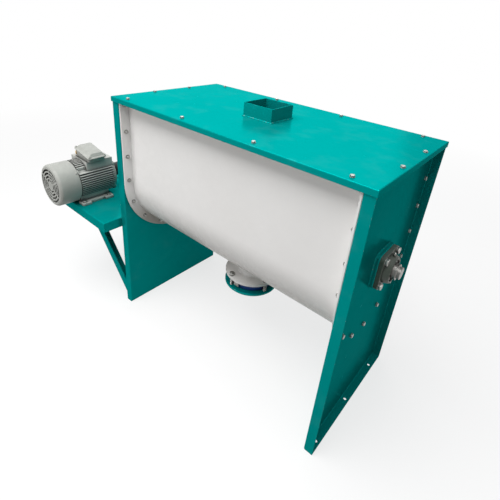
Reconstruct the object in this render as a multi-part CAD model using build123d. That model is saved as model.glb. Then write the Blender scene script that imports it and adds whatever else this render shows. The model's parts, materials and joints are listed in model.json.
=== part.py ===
from build123d import *
import math
import os

# Horizontal ribbon dough mixer, in millimetres.
# Working frame: X along the agitator shaft (free shaft end at +X, drive at -X),
# Y across (operator side at -Y), Z up from the floor; x = 0 is the middle of the trough.
# place() moves the finished machine so that its origin is the middle of its footprint.

# Trough
trough_length = 1172.0        # between the two end webs
trough_radius = 274.0         # inside
trough_wall = 4.0
rim_gap = 5.0                 # outward rim along each top edge to the frame's long faces
end_flange_width = 45.0       # U-shaped flange round each end
end_flange_thick = 6.0
end_gasket = 2.0
shaft_height = 738.0

# End frames
frame_depth = 656.0
frame_top = 1158.0
frame_plate = 5.0
frame_fold = 39.0             # depth of the folded edges, from the trough side of the web
fold_radius = 6.0
foot_hole_pitch = 254.0
foot_hole_shift = -17.0       # middle hole from the shaft's plane
foot_hole_radius = 7.0
end_bolt_pitch = 123.0        # along the U-shaped row
end_bolt_inset = 22.0         # bolt row outside the trough wall

# Cover and inlet
cover_sheet = 3.0
cover_lip = 22.0
cover_gasket = 2.0
cover_gap_x = 0.5             # lip to end frame
cover_gap_y = 2.5
cover_bolt_margin = 49.0      # web to the first screw of the long rows
cover_bolt_count = 4
cover_bolt_inset = 22.0       # from the frame's long faces
cover_end_bolt_spacing = 218.0
inlet_size = 145.0
inlet_height = 56.0
inlet_wall = 3.0
weld_leg = 4.0

# Shaft, seals and flange bearings
shaft_radius = 32.5           # between the webs
seal_radius = 30.0            # shaft at the seals
journal_radius = 25.0
running_gap = 0.06
seat_gap = 0.03               # pressed and keyed seats
bolt_gap = 0.5                # bolt to its hole
seat_size = 149.0
seat_thick = 16.0
seat_corner = 24.0
seal_outer = 38.0
seal_lip = 22.0
seal_lip_thick = 6.0
bearing_size = 143.0
bearing_bolt_spacing = 109.0
bearing_bolt = 16
bearing_corner = 20.0
boss_base = 62.0              # radius of the bearing's round boss at its plate
boss_face = 51.0              # and at its front face
bearing_plate = 16.0
bearing_depth = 40.0
bearing_bore = 45.0
ring_centre = 22.0            # bearing centre plane in front of the seat
ring_width = 24.0
inner_ring_radius = 31.4
inner_ring_start = 3.0
inner_ring_end = 54.6
free_stub = 12.4              # shaft beyond the inner ring at the free end
stub_radius = 24.0            # of that last piece
stub_shoulder = 0.5           # its shoulder in front of the inner ring
set_screw_radius = 4.0
set_screw_turn = 10.0         # first set screw from the top, degrees

# Agitator
ribbon_clearance = 8.0        # outer ribbon to the trough wall
outer_ribbon_width = 48.0
inner_ribbon_radius = 150.0
inner_ribbon_width = 38.0
ribbon_thick = 10.0
ribbon_pitch = 540.0
ribbon_start = 5.0            # gap of each hand to the middle of the trough
scraper_thick = 6.0
scraper_width = 40.0
scraper_gap = 3.0             # scraper to the seal lip
spoke_radius = 9.0
spoke_count = 5               # along each ribbon
spoke_first = 16.0            # from the middle of the trough
spoke_last = 15.0             # short of the scraper
spoke_gap = 0.5

# Motor platform and braces
platform_sheet = 6.0
platform_lip = 52.0
platform_margin = 147.0       # motor axis to the platform's outer edge
platform_edge = 39.0          # its front edge beyond the motor's foot bolts
brace_leg = 50.0
brace_thick = 5.0
brace_foot = 55.0             # height of its lower corner on the end frame
brace_slope = 49.4            # degrees from the floor

# Motor
motor_height = 112.0          # foot to shaft axis
worm_distance = 86.0          # worm axis to wheel axis
drive_reach = 340.0           # motor axis to the outer edge of the end frame
motor_shoulder = 180.0        # drive-end face of the motor, in front of the agitator shaft
motor_shaft_radius = 14.0
motor_shaft_end = 55.0
barrel_radius = 97.0
barrel_inner = 88.0
fin_radius = 110.0
fin_thick = 4.0
fin_pitch = 11.5
fin_count = 12
housing_length = 200.0
housing_collar = 10.0         # plain ring at each end of the fins
saddle_half = 80.0            # smooth block under the terminal box, across the motor
saddle_height = 114.0         # its top above the motor axis
saddle_length = 147.0         # from the drive end of the housing
shield_length = 25.0
shield_ear = 12.0
ear_thick = 10.0
shield_hub = 46.0
shield_rim = 6.0              # shields and end collars beyond the barrel
shaft_seat = 20.0             # radius of the motor shaft in its shields
cowl_radius = 112.0
cowl_sheet = 2.0
cowl_length = 108.0
cowl_overlap = 10.0
cowl_corner = 16.0
cowl_slot = 10.0              # radial width of the grille slots
cowl_rib = 8.0                # radial width of the rings between them
cowl_first_slot = 26.0
cowl_spoke = 7.0
fan_radius = 84.0
fan_hub = 24.0
fan_depth = 30.0              # of the blades
fan_plate = 4.0
fan_blade = 3.0
rotor_radius = 52.0
air_gap = 1.0                 # rotor to stator
stack_inset = 38.0            # rotor and stator short of the housing's ends
motor_foot_x = 95.0           # half the bolt spacing across the motor
motor_foot_setback = 70.0     # shoulder to the first foot bolt
foot_bolt_margin = 60.0       # housing length beyond the foot bolt spacing
foot_end = 20.0               # foot beyond its bolts
foot_half_width = 115.0
foot_inner = 58.0             # inner edge of a foot from the motor's middle
foot_wall = 16.0              # upright wall of a foot
foot_wall_top = 68.0          # below the motor axis
foot_thick = 14.0
foot_notch = 14.0             # recess between the two bolt lugs
box_length = 148.0            # terminal box across the motor
box_width = 99.0
box_shift = 29.0              # its middle beside the motor axis, towards the mixer
box_setback = 94.0            # its middle from the drive end of the housing
box_wall = 5.0
box_draft = 14.0              # wall under the overhanging side of the lid
box_height = 34.0
box_tilt = 10.0               # slope of the lid joint, degrees
lid_height = 26.0
lid_flange = 5.0
lid_overhang = 3.0
lid_bevel = 32.0
gland_radius = 14.0
gland_bore = 6.0
gland_nut = 8.0               # hexagon of the gland
gland_cap = 6.0               # round end outside the hexagon
gland_thread = 12.0           # inside the box
gland_offset = 28.0           # from the middle of the box, towards the fan

# Small coupling, motor to worm
hub_radius = 38.0
motor_hub_length = 36.0
spider_thick = 14.0
input_hub_length = 34.0
coupling_clear = 2.0

# Worm reducer
reducer_base = 150.0
reducer_base_thick = 14.0
reducer_base_drop = 60.0      # worm axis above the base
reducer_half = 72.0           # half length along the worm
case_radius = 80.0
case_inner = 66.0
case_width = 100.0
worm_barrel_radius = 40.0
worm_chamber = 30.0
side_cover_thick = 12.0
side_cover_radius = 74.0
output_boss_radius = 40.0
output_boss_length = 14.0
output_radius = 20.0
input_radius = 12.5
wheel_width = 34.0
worm_radius = 22.0
worm_core = 17.0
worm_length = 92.0
worm_pitch = 12.0
worm_gap = 1.5                # worm to wheel
tooth_depth = 7.0
tooth_gap = 6.8
wheel_teeth = 20
riser_plate = 8.0
riser_flange = 30.0

# Large coupling, reducer to agitator
big_hub_radius = 55.0
big_hub_length = 55.0
big_spider = 22.0
shaft_joint = 118.0           # agitator shaft end outside the end frame

# Discharge
outlet_bore = 62.5            # liner bore
outlet_relief = 1.5           # lower flange bore larger than the liner bore
neck_inner = 66.0
neck_wall = 4.0
neck_drop = 81.0              # underside of the trough to the underside of the neck flange
flange_radius = 132.0
neck_flange = 12.0
valve_thick = 44.0
valve_radius = 107.0
outlet_flange = 12.0
stud_circle = 117.0
stud_radius = 8.0
stud_count = 4
stud_turn = -17.0             # first stud from the X axis, degrees
stud_tail = 1.0               # studs end inside the tapped outlet flange
stud_beyond = 4.0             # stud beyond its nut
liner_wall = 6.0
disc_gap = 0.06
disc_thick = 8.0
stem_radius = 8.0
valve_neck_radius = 15.0
valve_neck_end = 160.0        # lever pad behind the valve axis
pad_thick = 10.0
pad_half_x = 34.0
pad_half_z = 20.0
lever_length = 210.0
lever_thick = 8.0
lever_width = 22.0
wing_height = 9.0
quadrant_radius = 62.0
quadrant_thick = 5.0
lever_gap = 0.3
clamp_circle = 50.0           # clamp screw to the stem axis
clamp_radius = 4.0
clamp_head = 7.0
clamp_head_thick = 4.0
valve_travel = 90.0
boss_width = 30.0             # square front boss of the valve body
boss_height = 26.0
boss_reach = 6.0              # in front of the body
cap_thick = 4.0

# Bolted ears of the motor shields, degrees round the motor
EAR_ANGLES = (45, 135, 225, 315)

# Hexagon fasteners: across flats, head height, nut height
HEX = {8: (13.0, 5.3, 6.5), 10: (16.0, 6.4, 8.0), 12: (18.0, 7.5, 10.0), 16: (24.0, 10.0, 13.0)}

# Derived places
half_length = trough_length / 2
frame_outer = half_length + frame_fold
web_outer = half_length + frame_plate
half_depth = frame_depth / 2
wall_radius = trough_radius + trough_wall
flange_outer = wall_radius + end_flange_width
rim_outer = half_depth - rim_gap
flange_face = half_length - end_gasket
flange_back = flange_face - end_flange_thick
bolt_row = wall_radius + end_bolt_inset
cover_under = frame_top + cover_gasket
cover_top = cover_under + cover_sheet
cover_half_x = frame_outer + cover_gap_x + cover_sheet
cover_half_y = half_depth + cover_gap_y + cover_sheet
seat_face = web_outer + seat_thick
shaft_free_end = seat_face + inner_ring_end + free_stub
platform_top = shaft_height - worm_distance - motor_height
platform_under = platform_top - platform_sheet
platform_end = -frame_outer - drive_reach - platform_margin
motor_x = -frame_outer - drive_reach
motor_z = platform_top + motor_height
housing_rear = -motor_shoulder - shield_length
housing_front = housing_rear - housing_length
foot_rear_y = -motor_shoulder - motor_foot_setback
foot_front_y = foot_rear_y - housing_length + foot_bolt_margin
platform_half_y = platform_edge - foot_front_y
box_y = housing_rear - box_setback
box_x = motor_x + box_shift
box_base_z = motor_z + saddle_height
lid_joint_z = box_base_z + box_height
gland_x = box_x - box_length / 2
gland_z = box_base_z + box_height / 2
cowl_rear = housing_front - shield_length / 2 + cowl_overlap
cowl_front = cowl_rear - cowl_length
fan_back = cowl_front + 2 * fan_depth
shaft_tip_y = -motor_shoulder + motor_shaft_end
motor_hub_front = shaft_tip_y + coupling_clear - motor_hub_length
spider_front = motor_hub_front + motor_hub_length
spider_rear = spider_front + spider_thick
input_hub_rear = spider_rear + input_hub_length
reducer_base_z = motor_z - reducer_base_drop
case_half = case_width / 2
agitator_end = -frame_outer - shaft_joint
big_hub_near = agitator_end - coupling_clear
big_spider_far = big_hub_near - big_spider
neck_flange_z = shaft_height - wall_radius - neck_drop
valve_under = neck_flange_z - valve_thick
valve_z = valve_under + valve_thick / 2
outlet_height = valve_under - outlet_flange
boss_front = -valve_radius - boss_reach
lever_face = valve_neck_end + quadrant_thick + lever_gap
wheel_radius = worm_distance - worm_radius - worm_gap
neck_outer = neck_inner + neck_wall
disc_radius = outlet_bore - disc_gap
ribbon_radius = trough_radius - ribbon_clearance
scraper_end = half_length - seal_lip_thick - scraper_gap
scraper_start = scraper_end - scraper_thick
ribbon_stop = scraper_start
footprint_x = (shaft_free_end + platform_end) / 2
footprint_y = (platform_half_y + cowl_front) / 2


def block(x0, x1, y0, y1, z0, z1):
    """Box between two corners."""
    return Pos((x0 + x1) / 2, (y0 + y1) / 2, (z0 + z1) / 2) * Box(abs(x1 - x0), abs(y1 - y0), abs(z1 - z0))


def rod_x(radius, x0, x1, y=0.0, z=0.0):
    return Pos((x0 + x1) / 2, y, z) * Rot(0, 90, 0) * Cylinder(radius, abs(x1 - x0))


def rod_y(radius, y0, y1, x=0.0, z=0.0):
    return Pos(x, (y0 + y1) / 2, z) * Rot(90, 0, 0) * Cylinder(radius, abs(y1 - y0))


def rod_z(radius, z0, z1, x=0.0, y=0.0):
    return Pos(x, y, (z0 + z1) / 2) * Cylinder(radius, abs(z1 - z0))


def to_drive_end(shape):
    """The same piece mirrored to the drive end of the trough."""
    return mirror(shape, about=Plane.YZ)


def pair(*pieces):
    """Free-end pieces with their mirror images at the drive end."""
    return list(pieces) + [to_drive_end(piece) for piece in pieces]


def hexagon(flats, height):
    """Hexagonal prism standing on z = 0."""
    return extrude(RegularPolygon(flats / 2, 6, major_radius=False), height)


def bolt(size, grip):
    """Hexagon bolt: head above z = 0, shank of length grip below it."""
    flats, head, _ = HEX[size]
    return hexagon(flats, head) + Pos(0, 0, -grip / 2) * Cylinder(size / 2, grip)


def nut(size):
    """Hexagon nut standing on z = 0, bored to its bolt."""
    flats, _, height = HEX[size]
    return hexagon(flats, height) - Pos(0, 0, height / 2) * Cylinder(size / 2 + seat_gap, 2 * height)


def clearance(size):
    """Radius of the clearance hole for a bolt."""
    return size / 2 + bolt_gap


def u_row():
    """Bolt places (y, z) at equal steps along the U-shaped row, from its lowest point."""
    quarter = math.pi * bolt_row / 2
    straight = frame_top - shaft_height - HEX[10][0]
    steps = int((quarter + straight) / end_bolt_pitch)
    places = []
    for step in range(-steps, steps + 1):
        run = abs(step) * end_bolt_pitch
        side = 1 if step > 0 else -1
        if run > quarter:
            places.append((side * bolt_row, shaft_height + run - quarter))
        else:
            angle = run / bolt_row
            places.append((side * bolt_row * math.sin(angle), shaft_height - bolt_row * math.cos(angle)))
    return places


def bearing_bolt_places():
    """The four corners (y, z) of the bearing's bolt square."""
    half = bearing_bolt_spacing / 2
    return [(sy * half, shaft_height + sz * half) for sy in (-1, 1) for sz in (-1, 1)]


def cover_bolt_places():
    """Places (x, y) of the cover's screws: two long rows and two at each end."""
    first = -half_length + cover_bolt_margin
    pitch = -2 * first / (cover_bolt_count - 1)
    row_y = half_depth - cover_bolt_inset
    end_x = (web_outer + frame_outer) / 2
    rows = [(first + i * pitch, s * row_y) for i in range(cover_bolt_count) for s in (-1, 1)]
    ends = [(sx * end_x, sy * cover_end_bolt_spacing / 2) for sx in (-1, 1) for sy in (-1, 1)]
    return rows + ends


def u_section(radius, top):
    """U-shaped face in the YZ plane round the shaft axis, open to the given height."""
    arc = Pos(0, shaft_height) * Circle(radius)
    walls = Pos(0, (shaft_height + top) / 2) * Rectangle(2 * radius, top - shaft_height)
    below = arc - Pos(0, shaft_height + radius) * Rectangle(3 * radius, 2 * radius)
    return Plane.YZ * (below + walls)


def end_frame():
    """Free-end frame: a web folded outwards along all four edges."""
    sheet = block(half_length, frame_outer, -half_depth, half_depth, 0, frame_top)
    sheet = fillet(sheet.faces().sort_by(Axis.X)[0].edges(), fold_radius)
    pocket = block(web_outer, frame_outer + 1, -half_depth + frame_plate, half_depth - frame_plate,
                   frame_plate, frame_top - frame_plate)
    pocket = fillet(pocket.faces().sort_by(Axis.X)[0].edges(), fold_radius - frame_plate + 1)
    cuts = [rod_x(seal_outer + seat_gap, half_length - 1, web_outer + 1, 0, shaft_height)]
    cuts += [rod_x(clearance(10), half_length - 1, web_outer + 1, y, z) for y, z in u_row()]
    end_x = (web_outer + frame_outer) / 2
    cuts += [rod_z(foot_hole_radius, -1, frame_plate + 1, end_x, foot_hole_shift + k * foot_hole_pitch)
             for k in (-1, 0, 1)]
    cuts += [rod_z(clearance(8), frame_top - frame_plate - 1, frame_top + 1, x, y)
             for x, y in cover_bolt_places() if x > half_length]
    return sheet - pocket - cuts


def trough_shell():
    """U-shaped trough wall with an outward rim along each top edge and the discharge hole."""
    length = 2 * flange_face
    outer = Pos(-flange_face, 0, 0) * extrude(u_section(wall_radius, frame_top), length)
    inner = Pos(-flange_face - 1, 0, 0) * extrude(u_section(trough_radius, frame_top + 1), length + 2)
    shell = outer - inner
    for side in (-1, 1):
        shell += block(-flange_face, flange_face, side * (wall_radius - 1), side * rim_outer,
                       frame_top - trough_wall, frame_top)
    cuts = [rod_z(neck_inner, neck_flange_z, shaft_height)]
    cuts += [rod_z(clearance(8), frame_top - trough_wall - 1, frame_top + 1, x, y)
             for x, y in cover_bolt_places() if abs(x) < half_length]
    return shell - cuts


def trough_flange():
    """U-shaped flange welded round the free end of the trough."""
    thick = flange_face - flange_back
    top = frame_top - trough_wall
    ring = extrude(u_section(flange_outer, top), thick)
    ring -= extrude(u_section(wall_radius + seat_gap, top), thick)
    holes = [rod_x(clearance(10), flange_back - 1, flange_face + 1, y, z) for y, z in u_row()]
    return Pos(flange_back, 0, 0) * ring - holes


def end_gasket_sheet():
    """U-shaped gasket between a trough flange and its end frame."""
    top = frame_top - seat_gap
    ring = extrude(u_section(flange_outer - 1, top), end_gasket)
    ring -= extrude(u_section(trough_radius + 1, top), end_gasket)
    holes = [rod_x(clearance(10), flange_face - 1, half_length + 1, y, z) for y, z in u_row()]
    return Pos(flange_face, 0, 0) * ring - holes


def end_bolts():
    """Bolts through the free-end web and the trough flange, heads outside."""
    grip = web_outer - flange_back + HEX[10][2] + 3.0
    return [Pos(web_outer, y, z) * Rot(0, 90, 0) * bolt(10, grip) for y, z in u_row()]


def end_nuts():
    return [Pos(flange_back, y, z) * Rot(0, -90, 0) * nut(10) for y, z in u_row()]


def cover():
    """Folded cover sheet with a lip all round, the inlet hole and its screw holes."""
    bottom = cover_top - cover_lip
    sheet = block(-cover_half_x, cover_half_x, -cover_half_y, cover_half_y, bottom, cover_top)
    sheet = fillet(sheet.faces().sort_by(Axis.Z)[-1].edges(), cover_sheet + 0.5)
    inner_x = cover_half_x - cover_sheet
    inner_y = cover_half_y - cover_sheet
    inside = block(-inner_x, inner_x, -inner_y, inner_y, bottom - 1, cover_under)
    clear = inlet_size / 2 - inlet_wall
    cuts = [block(-clear, clear, -clear, clear, cover_under - 1, cover_top + 1)]
    cuts += [rod_z(clearance(8), cover_under - 1, cover_top + 1, x, y) for x, y in cover_bolt_places()]
    return sheet - inside - cuts


def cover_seal():
    """Flat gasket frame under the cover."""
    outer = block(-frame_outer + 2, frame_outer - 2, -rim_outer, rim_outer, frame_top, cover_under)
    mouth = block(-half_length, half_length, -trough_radius, trough_radius, frame_top - 1, cover_under + 1)
    holes = [rod_z(clearance(8), frame_top - 1, cover_under + 1, x, y) for x, y in cover_bolt_places()]
    return outer - mouth - holes


def cover_bolts():
    grip = cover_top - frame_top + frame_plate + 8.0
    return [Pos(x, y, cover_top) * bolt(8, grip) for x, y in cover_bolt_places()]


def inlet_collar():
    """Open square collar welded on the cover, with its weld bead."""
    half = inlet_size / 2
    clear = half - inlet_wall
    wall = block(-half, half, -half, half, cover_top, cover_top + inlet_height)
    wall = fillet(wall.edges().filter_by(Axis.Z), 2.5)
    bead_face = Pos(0, 0, cover_top) * Rectangle(inlet_size + 2 * weld_leg, inlet_size + 2 * weld_leg)
    bead = extrude(bead_face, weld_leg, taper=45)
    return wall + bead - block(-clear, clear, -clear, clear, cover_top - 1, cover_top + inlet_height + 1)


def bearing_seat():
    """Square pad on the outside of the web, bored for the shaft seal."""
    outline = Pos(0, shaft_height) * RectangleRounded(seat_size, seat_size, seat_corner)
    pad = extrude(Plane.YZ * outline, seat_thick)
    pad = Pos(web_outer, 0, 0) * chamfer(pad.faces().sort_by(Axis.X)[-1].edges(), 2.0)
    cuts = [rod_x(seal_outer + seat_gap, web_outer - 1, seat_face + 1, 0, shaft_height)]
    cuts += [rod_x(bearing_bolt / 2 + seat_gap, web_outer - 1, seat_face + 1, y, z)
             for y, z in bearing_bolt_places()]
    return pad - cuts


def bearing_housing():
    """Square cast flange with a round tapered boss, bored for the bearing's outer ring."""
    outline = Pos(0, shaft_height) * RectangleRounded(bearing_size, bearing_size, bearing_corner)
    plate = extrude(Plane.YZ * outline, bearing_plate)
    plate = fillet(plate.faces().sort_by(Axis.X)[-1].edges(), 2.5)
    boss_profile = Polyline((0, 0), (0, boss_base), (bearing_plate + 4, boss_base - 2),
                            (bearing_depth - 5, boss_face + 3), (bearing_depth, boss_face),
                            (bearing_depth, 0), close=True)
    boss = revolve(make_face(Plane.XY * boss_profile), Axis.X)
    nipple_seat = Pos(ring_centre + 4, 0, boss_face + 1) * Cylinder(7, 20)
    body = Pos(seat_face, 0, 0) * (plate + Pos(0, 0, shaft_height) * (boss + nipple_seat))
    cuts = [rod_x(bearing_bore, seat_face - 1, seat_face + bearing_depth + 1, 0, shaft_height)]
    cuts += [rod_x(clearance(bearing_bolt), seat_face - 1, seat_face + bearing_plate + 1, y, z)
             for y, z in bearing_bolt_places()]
    return body - cuts


def bearing_outer_ring():
    """Outer ring with its two shields, up to a running gap from the inner ring."""
    x0 = ring_centre - ring_width / 2
    x1 = ring_centre + ring_width / 2
    inner = inner_ring_radius + 0.3
    outer = bearing_bore - seat_gap
    profile = Polyline((x0, inner), (x0, outer), (x1, outer), (x1, inner), (x1 - 2, inner),
                       (x1 - 2, 39), (x0 + 2, 39), (x0 + 2, inner), close=True)
    return Pos(seat_face, 0, shaft_height) * revolve(make_face(Plane.XY * profile), Axis.X)


def bearing_inner_ring():
    """Wide inner ring clamped on the journal, with two set-screw holes."""
    x0 = inner_ring_start
    x1 = inner_ring_end
    ring = rod_x(inner_ring_radius, x0, x1) - rod_x(journal_radius + seat_gap, x0 - 1, x1 + 1)
    ring = chamfer(ring.faces().sort_by(Axis.X)[-1].edges(), 1.0)
    for angle in (set_screw_turn, set_screw_turn + 120):
        hole = Pos(0, 0, inner_ring_radius) * Cylinder(set_screw_radius, 12)
        ring -= Pos(x1 - 7, 0, 0) * Rot(angle, 0, 0) * hole
    return Pos(seat_face, 0, shaft_height) * ring


def bearing_bolts():
    grip = bearing_plate + seat_thick - 1
    face = seat_face + bearing_plate
    return [Pos(face, y, z) * Rot(0, 90, 0) * bolt(bearing_bolt, grip)
            for y, z in bearing_bolt_places()]


def cone_z(low, high, height):
    """Cone frustum standing on z = 0."""
    return Pos(0, 0, height / 2) * Cone(low, high, height)


def shaft_seal():
    """Flanged seal bush in the web and seat, running on the shaft."""
    body = rod_x(seal_outer, half_length, seat_face - 2, 0, shaft_height)
    lip = rod_x(seal_outer + seal_lip, half_length - seal_lip_thick, half_length, 0, shaft_height)
    bore = rod_x(seal_radius + running_gap, half_length - 2 * seal_lip_thick, seat_face, 0, shaft_height)
    return body + lip - bore


def agitator_shaft():
    """Stepped shaft: full size in the trough, seal size through the webs, journals outside."""
    step = half_length - 8
    shaft = rod_x(shaft_radius, -step, step)
    shaft += rod_x(seal_radius, -seat_face - 1, seat_face + 1)
    shaft += rod_x(journal_radius, agitator_end, seat_face + inner_ring_end + stub_shoulder)
    shaft += rod_x(stub_radius, 0, shaft_free_end)
    shaft = chamfer(shaft.faces().sort_by(Axis.X)[-1].edges(), 1.5)
    key = block(agitator_end - 1, agitator_end + big_hub_length, -7, 7, journal_radius - 5, journal_radius + 5)
    return Pos(0, 0, shaft_height) * (shaft - key)


def ribbon(outer, width, hand, phase):
    """Helical flight of one half of the agitator, as a twisted ring sector."""
    length = ribbon_stop - ribbon_start
    sweep_angle = 360.0 * ribbon_thick / ribbon_pitch
    ring = Circle(outer) - Circle(outer - width)
    half = math.radians(sweep_angle / 2)
    far = 2 * outer
    wedge = make_face(Polyline((0, 0), (far * math.cos(half), -far * math.sin(half)),
                               (far * math.cos(half), far * math.sin(half)), close=True))
    section = (ring & wedge).face()
    turn = hand * 360.0 * length / ribbon_pitch
    flight = Solid.extrude_linear_with_rotation(section, (0, 0, 0), (0, 0, length), turn)
    start = Rot(phase, 0, 0) * Rot(0, 90, 0)
    return Pos(ribbon_start, 0, shaft_height) * start * flight


def spokes(outer, hand, phase):
    """Radial rods from the shaft to the inner edge of one ribbon."""
    rods = []
    step = (ribbon_stop - spoke_last - spoke_first) / (spoke_count - 1)
    for i in range(spoke_count):
        x = spoke_first + i * step
        angle = phase + hand * 360.0 * (x - ribbon_start) / ribbon_pitch
        reach = outer - spoke_gap
        rod = Pos(0, 0, -reach / 2) * Cylinder(spoke_radius, reach)
        rod -= rod_x(shaft_radius + seat_gap, -50, 50)
        rods.append(Pos(x, 0, shaft_height) * Rot(angle, 0, 0) * rod)
    return rods


def scraper():
    """End scraper: a flat bar across the shaft, which ends the outer ribbon close to the web."""
    half = scraper_width / 2
    arm = block(scraper_start, scraper_end, -half, half, -ribbon_radius, ribbon_radius)
    arm = fillet(arm.edges().filter_by(Axis.X), 6)
    arm &= rod_x(ribbon_radius, scraper_start, scraper_end)
    arm -= rod_x(shaft_radius + seat_gap, scraper_start - 1, scraper_end + 1)
    turn = 360.0 * (ribbon_stop - ribbon_start) / ribbon_pitch
    return Pos(0, 0, shaft_height) * Rot(turn, 0, 0) * arm


def platform():
    """Folded motor platform: a plate with a lip down all four sides and its bolt holes."""
    bottom = platform_top - platform_lip
    plate = block(platform_end, -frame_outer, -platform_half_y, platform_half_y, bottom, platform_top)
    plate = fillet(plate.faces().sort_by(Axis.Z)[-1].edges(), fold_radius)
    inside = block(platform_end + platform_sheet, -frame_outer - platform_sheet,
                   -platform_half_y + platform_sheet, platform_half_y - platform_sheet,
                   bottom - 1, platform_under)
    places = motor_bolt_places() + riser_bolt_places()
    holes = [rod_z(clearance(12), platform_under - 1, platform_top + 1, x, y) for x, y in places]
    return plate - inside - holes


def brace():
    """Equal-angle brace from the front edge of the end frame up to the platform."""
    slope = math.radians(brace_slope)
    x0 = -frame_outer
    run = (platform_under - brace_foot) / math.tan(slope)
    offset_z = brace_leg / math.cos(slope)
    offset_t = brace_thick / math.cos(slope)

    def strip(height, y0, y1):
        shift = height / math.tan(slope)
        face = make_face(Polyline((x0, brace_foot), (x0 - run, platform_under),
                                  (x0 - run + shift, platform_under), (x0, brace_foot + height), close=True))
        solid = extrude(Plane.XZ * face, -(y1 - y0))
        return Pos(0, y0, 0) * solid

    front = strip(offset_z, -half_depth, -half_depth + brace_thick)
    lower = strip(offset_t, -half_depth, -half_depth + brace_leg)
    return front + lower


def motor_bolt_places():
    return [(motor_x + sx * motor_foot_x, y) for sx in (-1, 1) for y in (foot_rear_y, foot_front_y)]


def riser_bolt_places():
    x = reducer_base / 2 + riser_flange / 2
    return [(motor_x + sx * x, sy * reducer_base / 3) for sx in (-1, 1) for sy in (-1, 1)]


def reducer_bolt_places():
    half = reducer_base / 2 - 20
    return [(motor_x + sx * half, sy * half) for sx in (-1, 1) for sy in (-1, 1)]


def motor_housing():
    """Finned barrel with integral feet and a smooth saddle for the terminal box."""
    half = housing_length / 2
    barrel = rod_y(barrel_radius, -half, half)
    envelope = rod_y(fin_radius, -half + housing_collar / 2, half - housing_collar / 2)
    plates = []
    first = -fin_pitch * (fin_count - 1) / 2
    for i in range(fin_count):
        low = first + i * fin_pitch - fin_thick / 2
        plates.append(block(-fin_radius, fin_radius, -half, half, low, low + fin_thick))
        plates.append(block(low, low + fin_thick, -half, half, 0, fin_radius))
    body = barrel + [plate & envelope for plate in plates]
    for end in (-1, 1):
        body += rod_y(barrel_radius + shield_rim, end * half, end * (half - housing_collar))
    body += block(-saddle_half, saddle_half, half - saddle_length, half, -first, saddle_height)
    middle = (housing_rear + housing_front) / 2
    for side in (-1, 1):
        body += motor_foot(side, middle)
    body -= rod_y(barrel_inner, -half - 1, half + 1)
    holes = [rod_z(clearance(12), -motor_height - 1, -motor_height + foot_thick + 1, x - motor_x, y - middle)
             for x, y in motor_bolt_places()]
    return Pos(motor_x, middle, motor_z) * (body - holes)


def motor_foot(side, middle):
    """One foot rail with raised bolt lugs and its wall up to the barrel."""
    rear = foot_rear_y + foot_end - middle
    front = foot_front_y - foot_end - middle
    low = -motor_height
    top = low + foot_thick
    rail = block(side * foot_inner, side * foot_half_width, front, rear, low, top)
    rail = fillet(rail.edges().filter_by(Axis.Z), 8)
    notch = block(side * (foot_half_width - foot_notch), side * (foot_half_width + 1),
                  front + 2.4 * foot_end, rear - 2.4 * foot_end, low - 1, top + 1)
    wall = block(side * foot_inner, side * (foot_inner + foot_wall), front + foot_wall / 2,
                 rear - foot_wall / 2, top - 1, -foot_wall_top)
    return rail - notch + wall


def motor_shield(y_face, direction, reach):
    """Cast end shield with four bolted ears out to a reach; its flat side meets the housing."""
    rim = barrel_radius + shield_rim
    profile = Polyline((0, 0), (rim, 0), (rim - 2, 0.4 * shield_length), (rim - 20, 0.7 * shield_length),
                       (shield_hub + 2, shield_length - 3), (shield_hub, shield_length),
                       (0, shield_length), close=True)
    cap = revolve(make_face(profile), Axis.Y)
    ear_circle = barrel_radius + 2
    turns = [Rot(0, angle, 0) for angle in EAR_ANGLES]
    cap += [turn * Pos(ear_circle, ear_thick / 2, 0) * Rot(90, 0, 0) * Cylinder(shield_ear, ear_thick)
            for turn in turns]
    cap -= [turn * rod_y(clearance(8), -1, ear_thick + 1, ear_circle) for turn in turns]
    cap -= [turn * rod_y(shield_ear - 1, ear_thick, shield_length, ear_circle) for turn in turns]
    cap &= rod_y(reach, 0, shield_length)
    cap -= rod_y(shaft_seat + running_gap, -1, shield_length + 1)
    cap -= rod_y(barrel_inner - shield_rim, -1, shield_length / 3)
    if direction < 0:
        cap = mirror(cap, about=Plane.XZ)
    return Pos(motor_x, y_face, motor_z) * cap


def shield_bolts():
    """Screws through the ears of the drive-end shield."""
    screws = []
    for angle in EAR_ANGLES:
        screw = Rot(-90, 0, 0) * bolt(8, ear_thick - bolt_gap)
        screws.append(Pos(motor_x, housing_rear + ear_thick, motor_z) * Rot(0, angle, 0)
                      * Pos(barrel_radius + 2, 0, 0) * screw)
    return screws


def fan_cowl():
    """Sheet cowl with a rounded front and a grille of ring slots."""
    cap = rod_y(cowl_radius, -cowl_length, 0)
    cap = fillet(cap.faces().sort_by(Axis.Y)[0].edges(), cowl_corner)
    inside = rod_y(cowl_radius - cowl_sheet, -cowl_length + cowl_sheet, 1)
    inside = fillet(inside.faces().sort_by(Axis.Y)[0].edges(), cowl_corner - cowl_sheet)
    cap -= inside
    front = -cowl_length - 1
    back = -cowl_length + cowl_sheet + 1
    slots = []
    inner = cowl_first_slot
    while inner + cowl_slot < cowl_radius - cowl_corner:
        ring = rod_y(inner + cowl_slot, front, back) - rod_y(inner, front - 1, back + 1)
        for angle in (0, 60, 120):
            ring -= Rot(0, angle, 0) * block(-cowl_spoke / 2, cowl_spoke / 2, front - 1, back + 1,
                                             -cowl_radius, cowl_radius)
        slots.append(ring)
        inner += cowl_slot + cowl_rib
    return Pos(motor_x, cowl_rear, motor_z) * (cap - slots)


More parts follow.
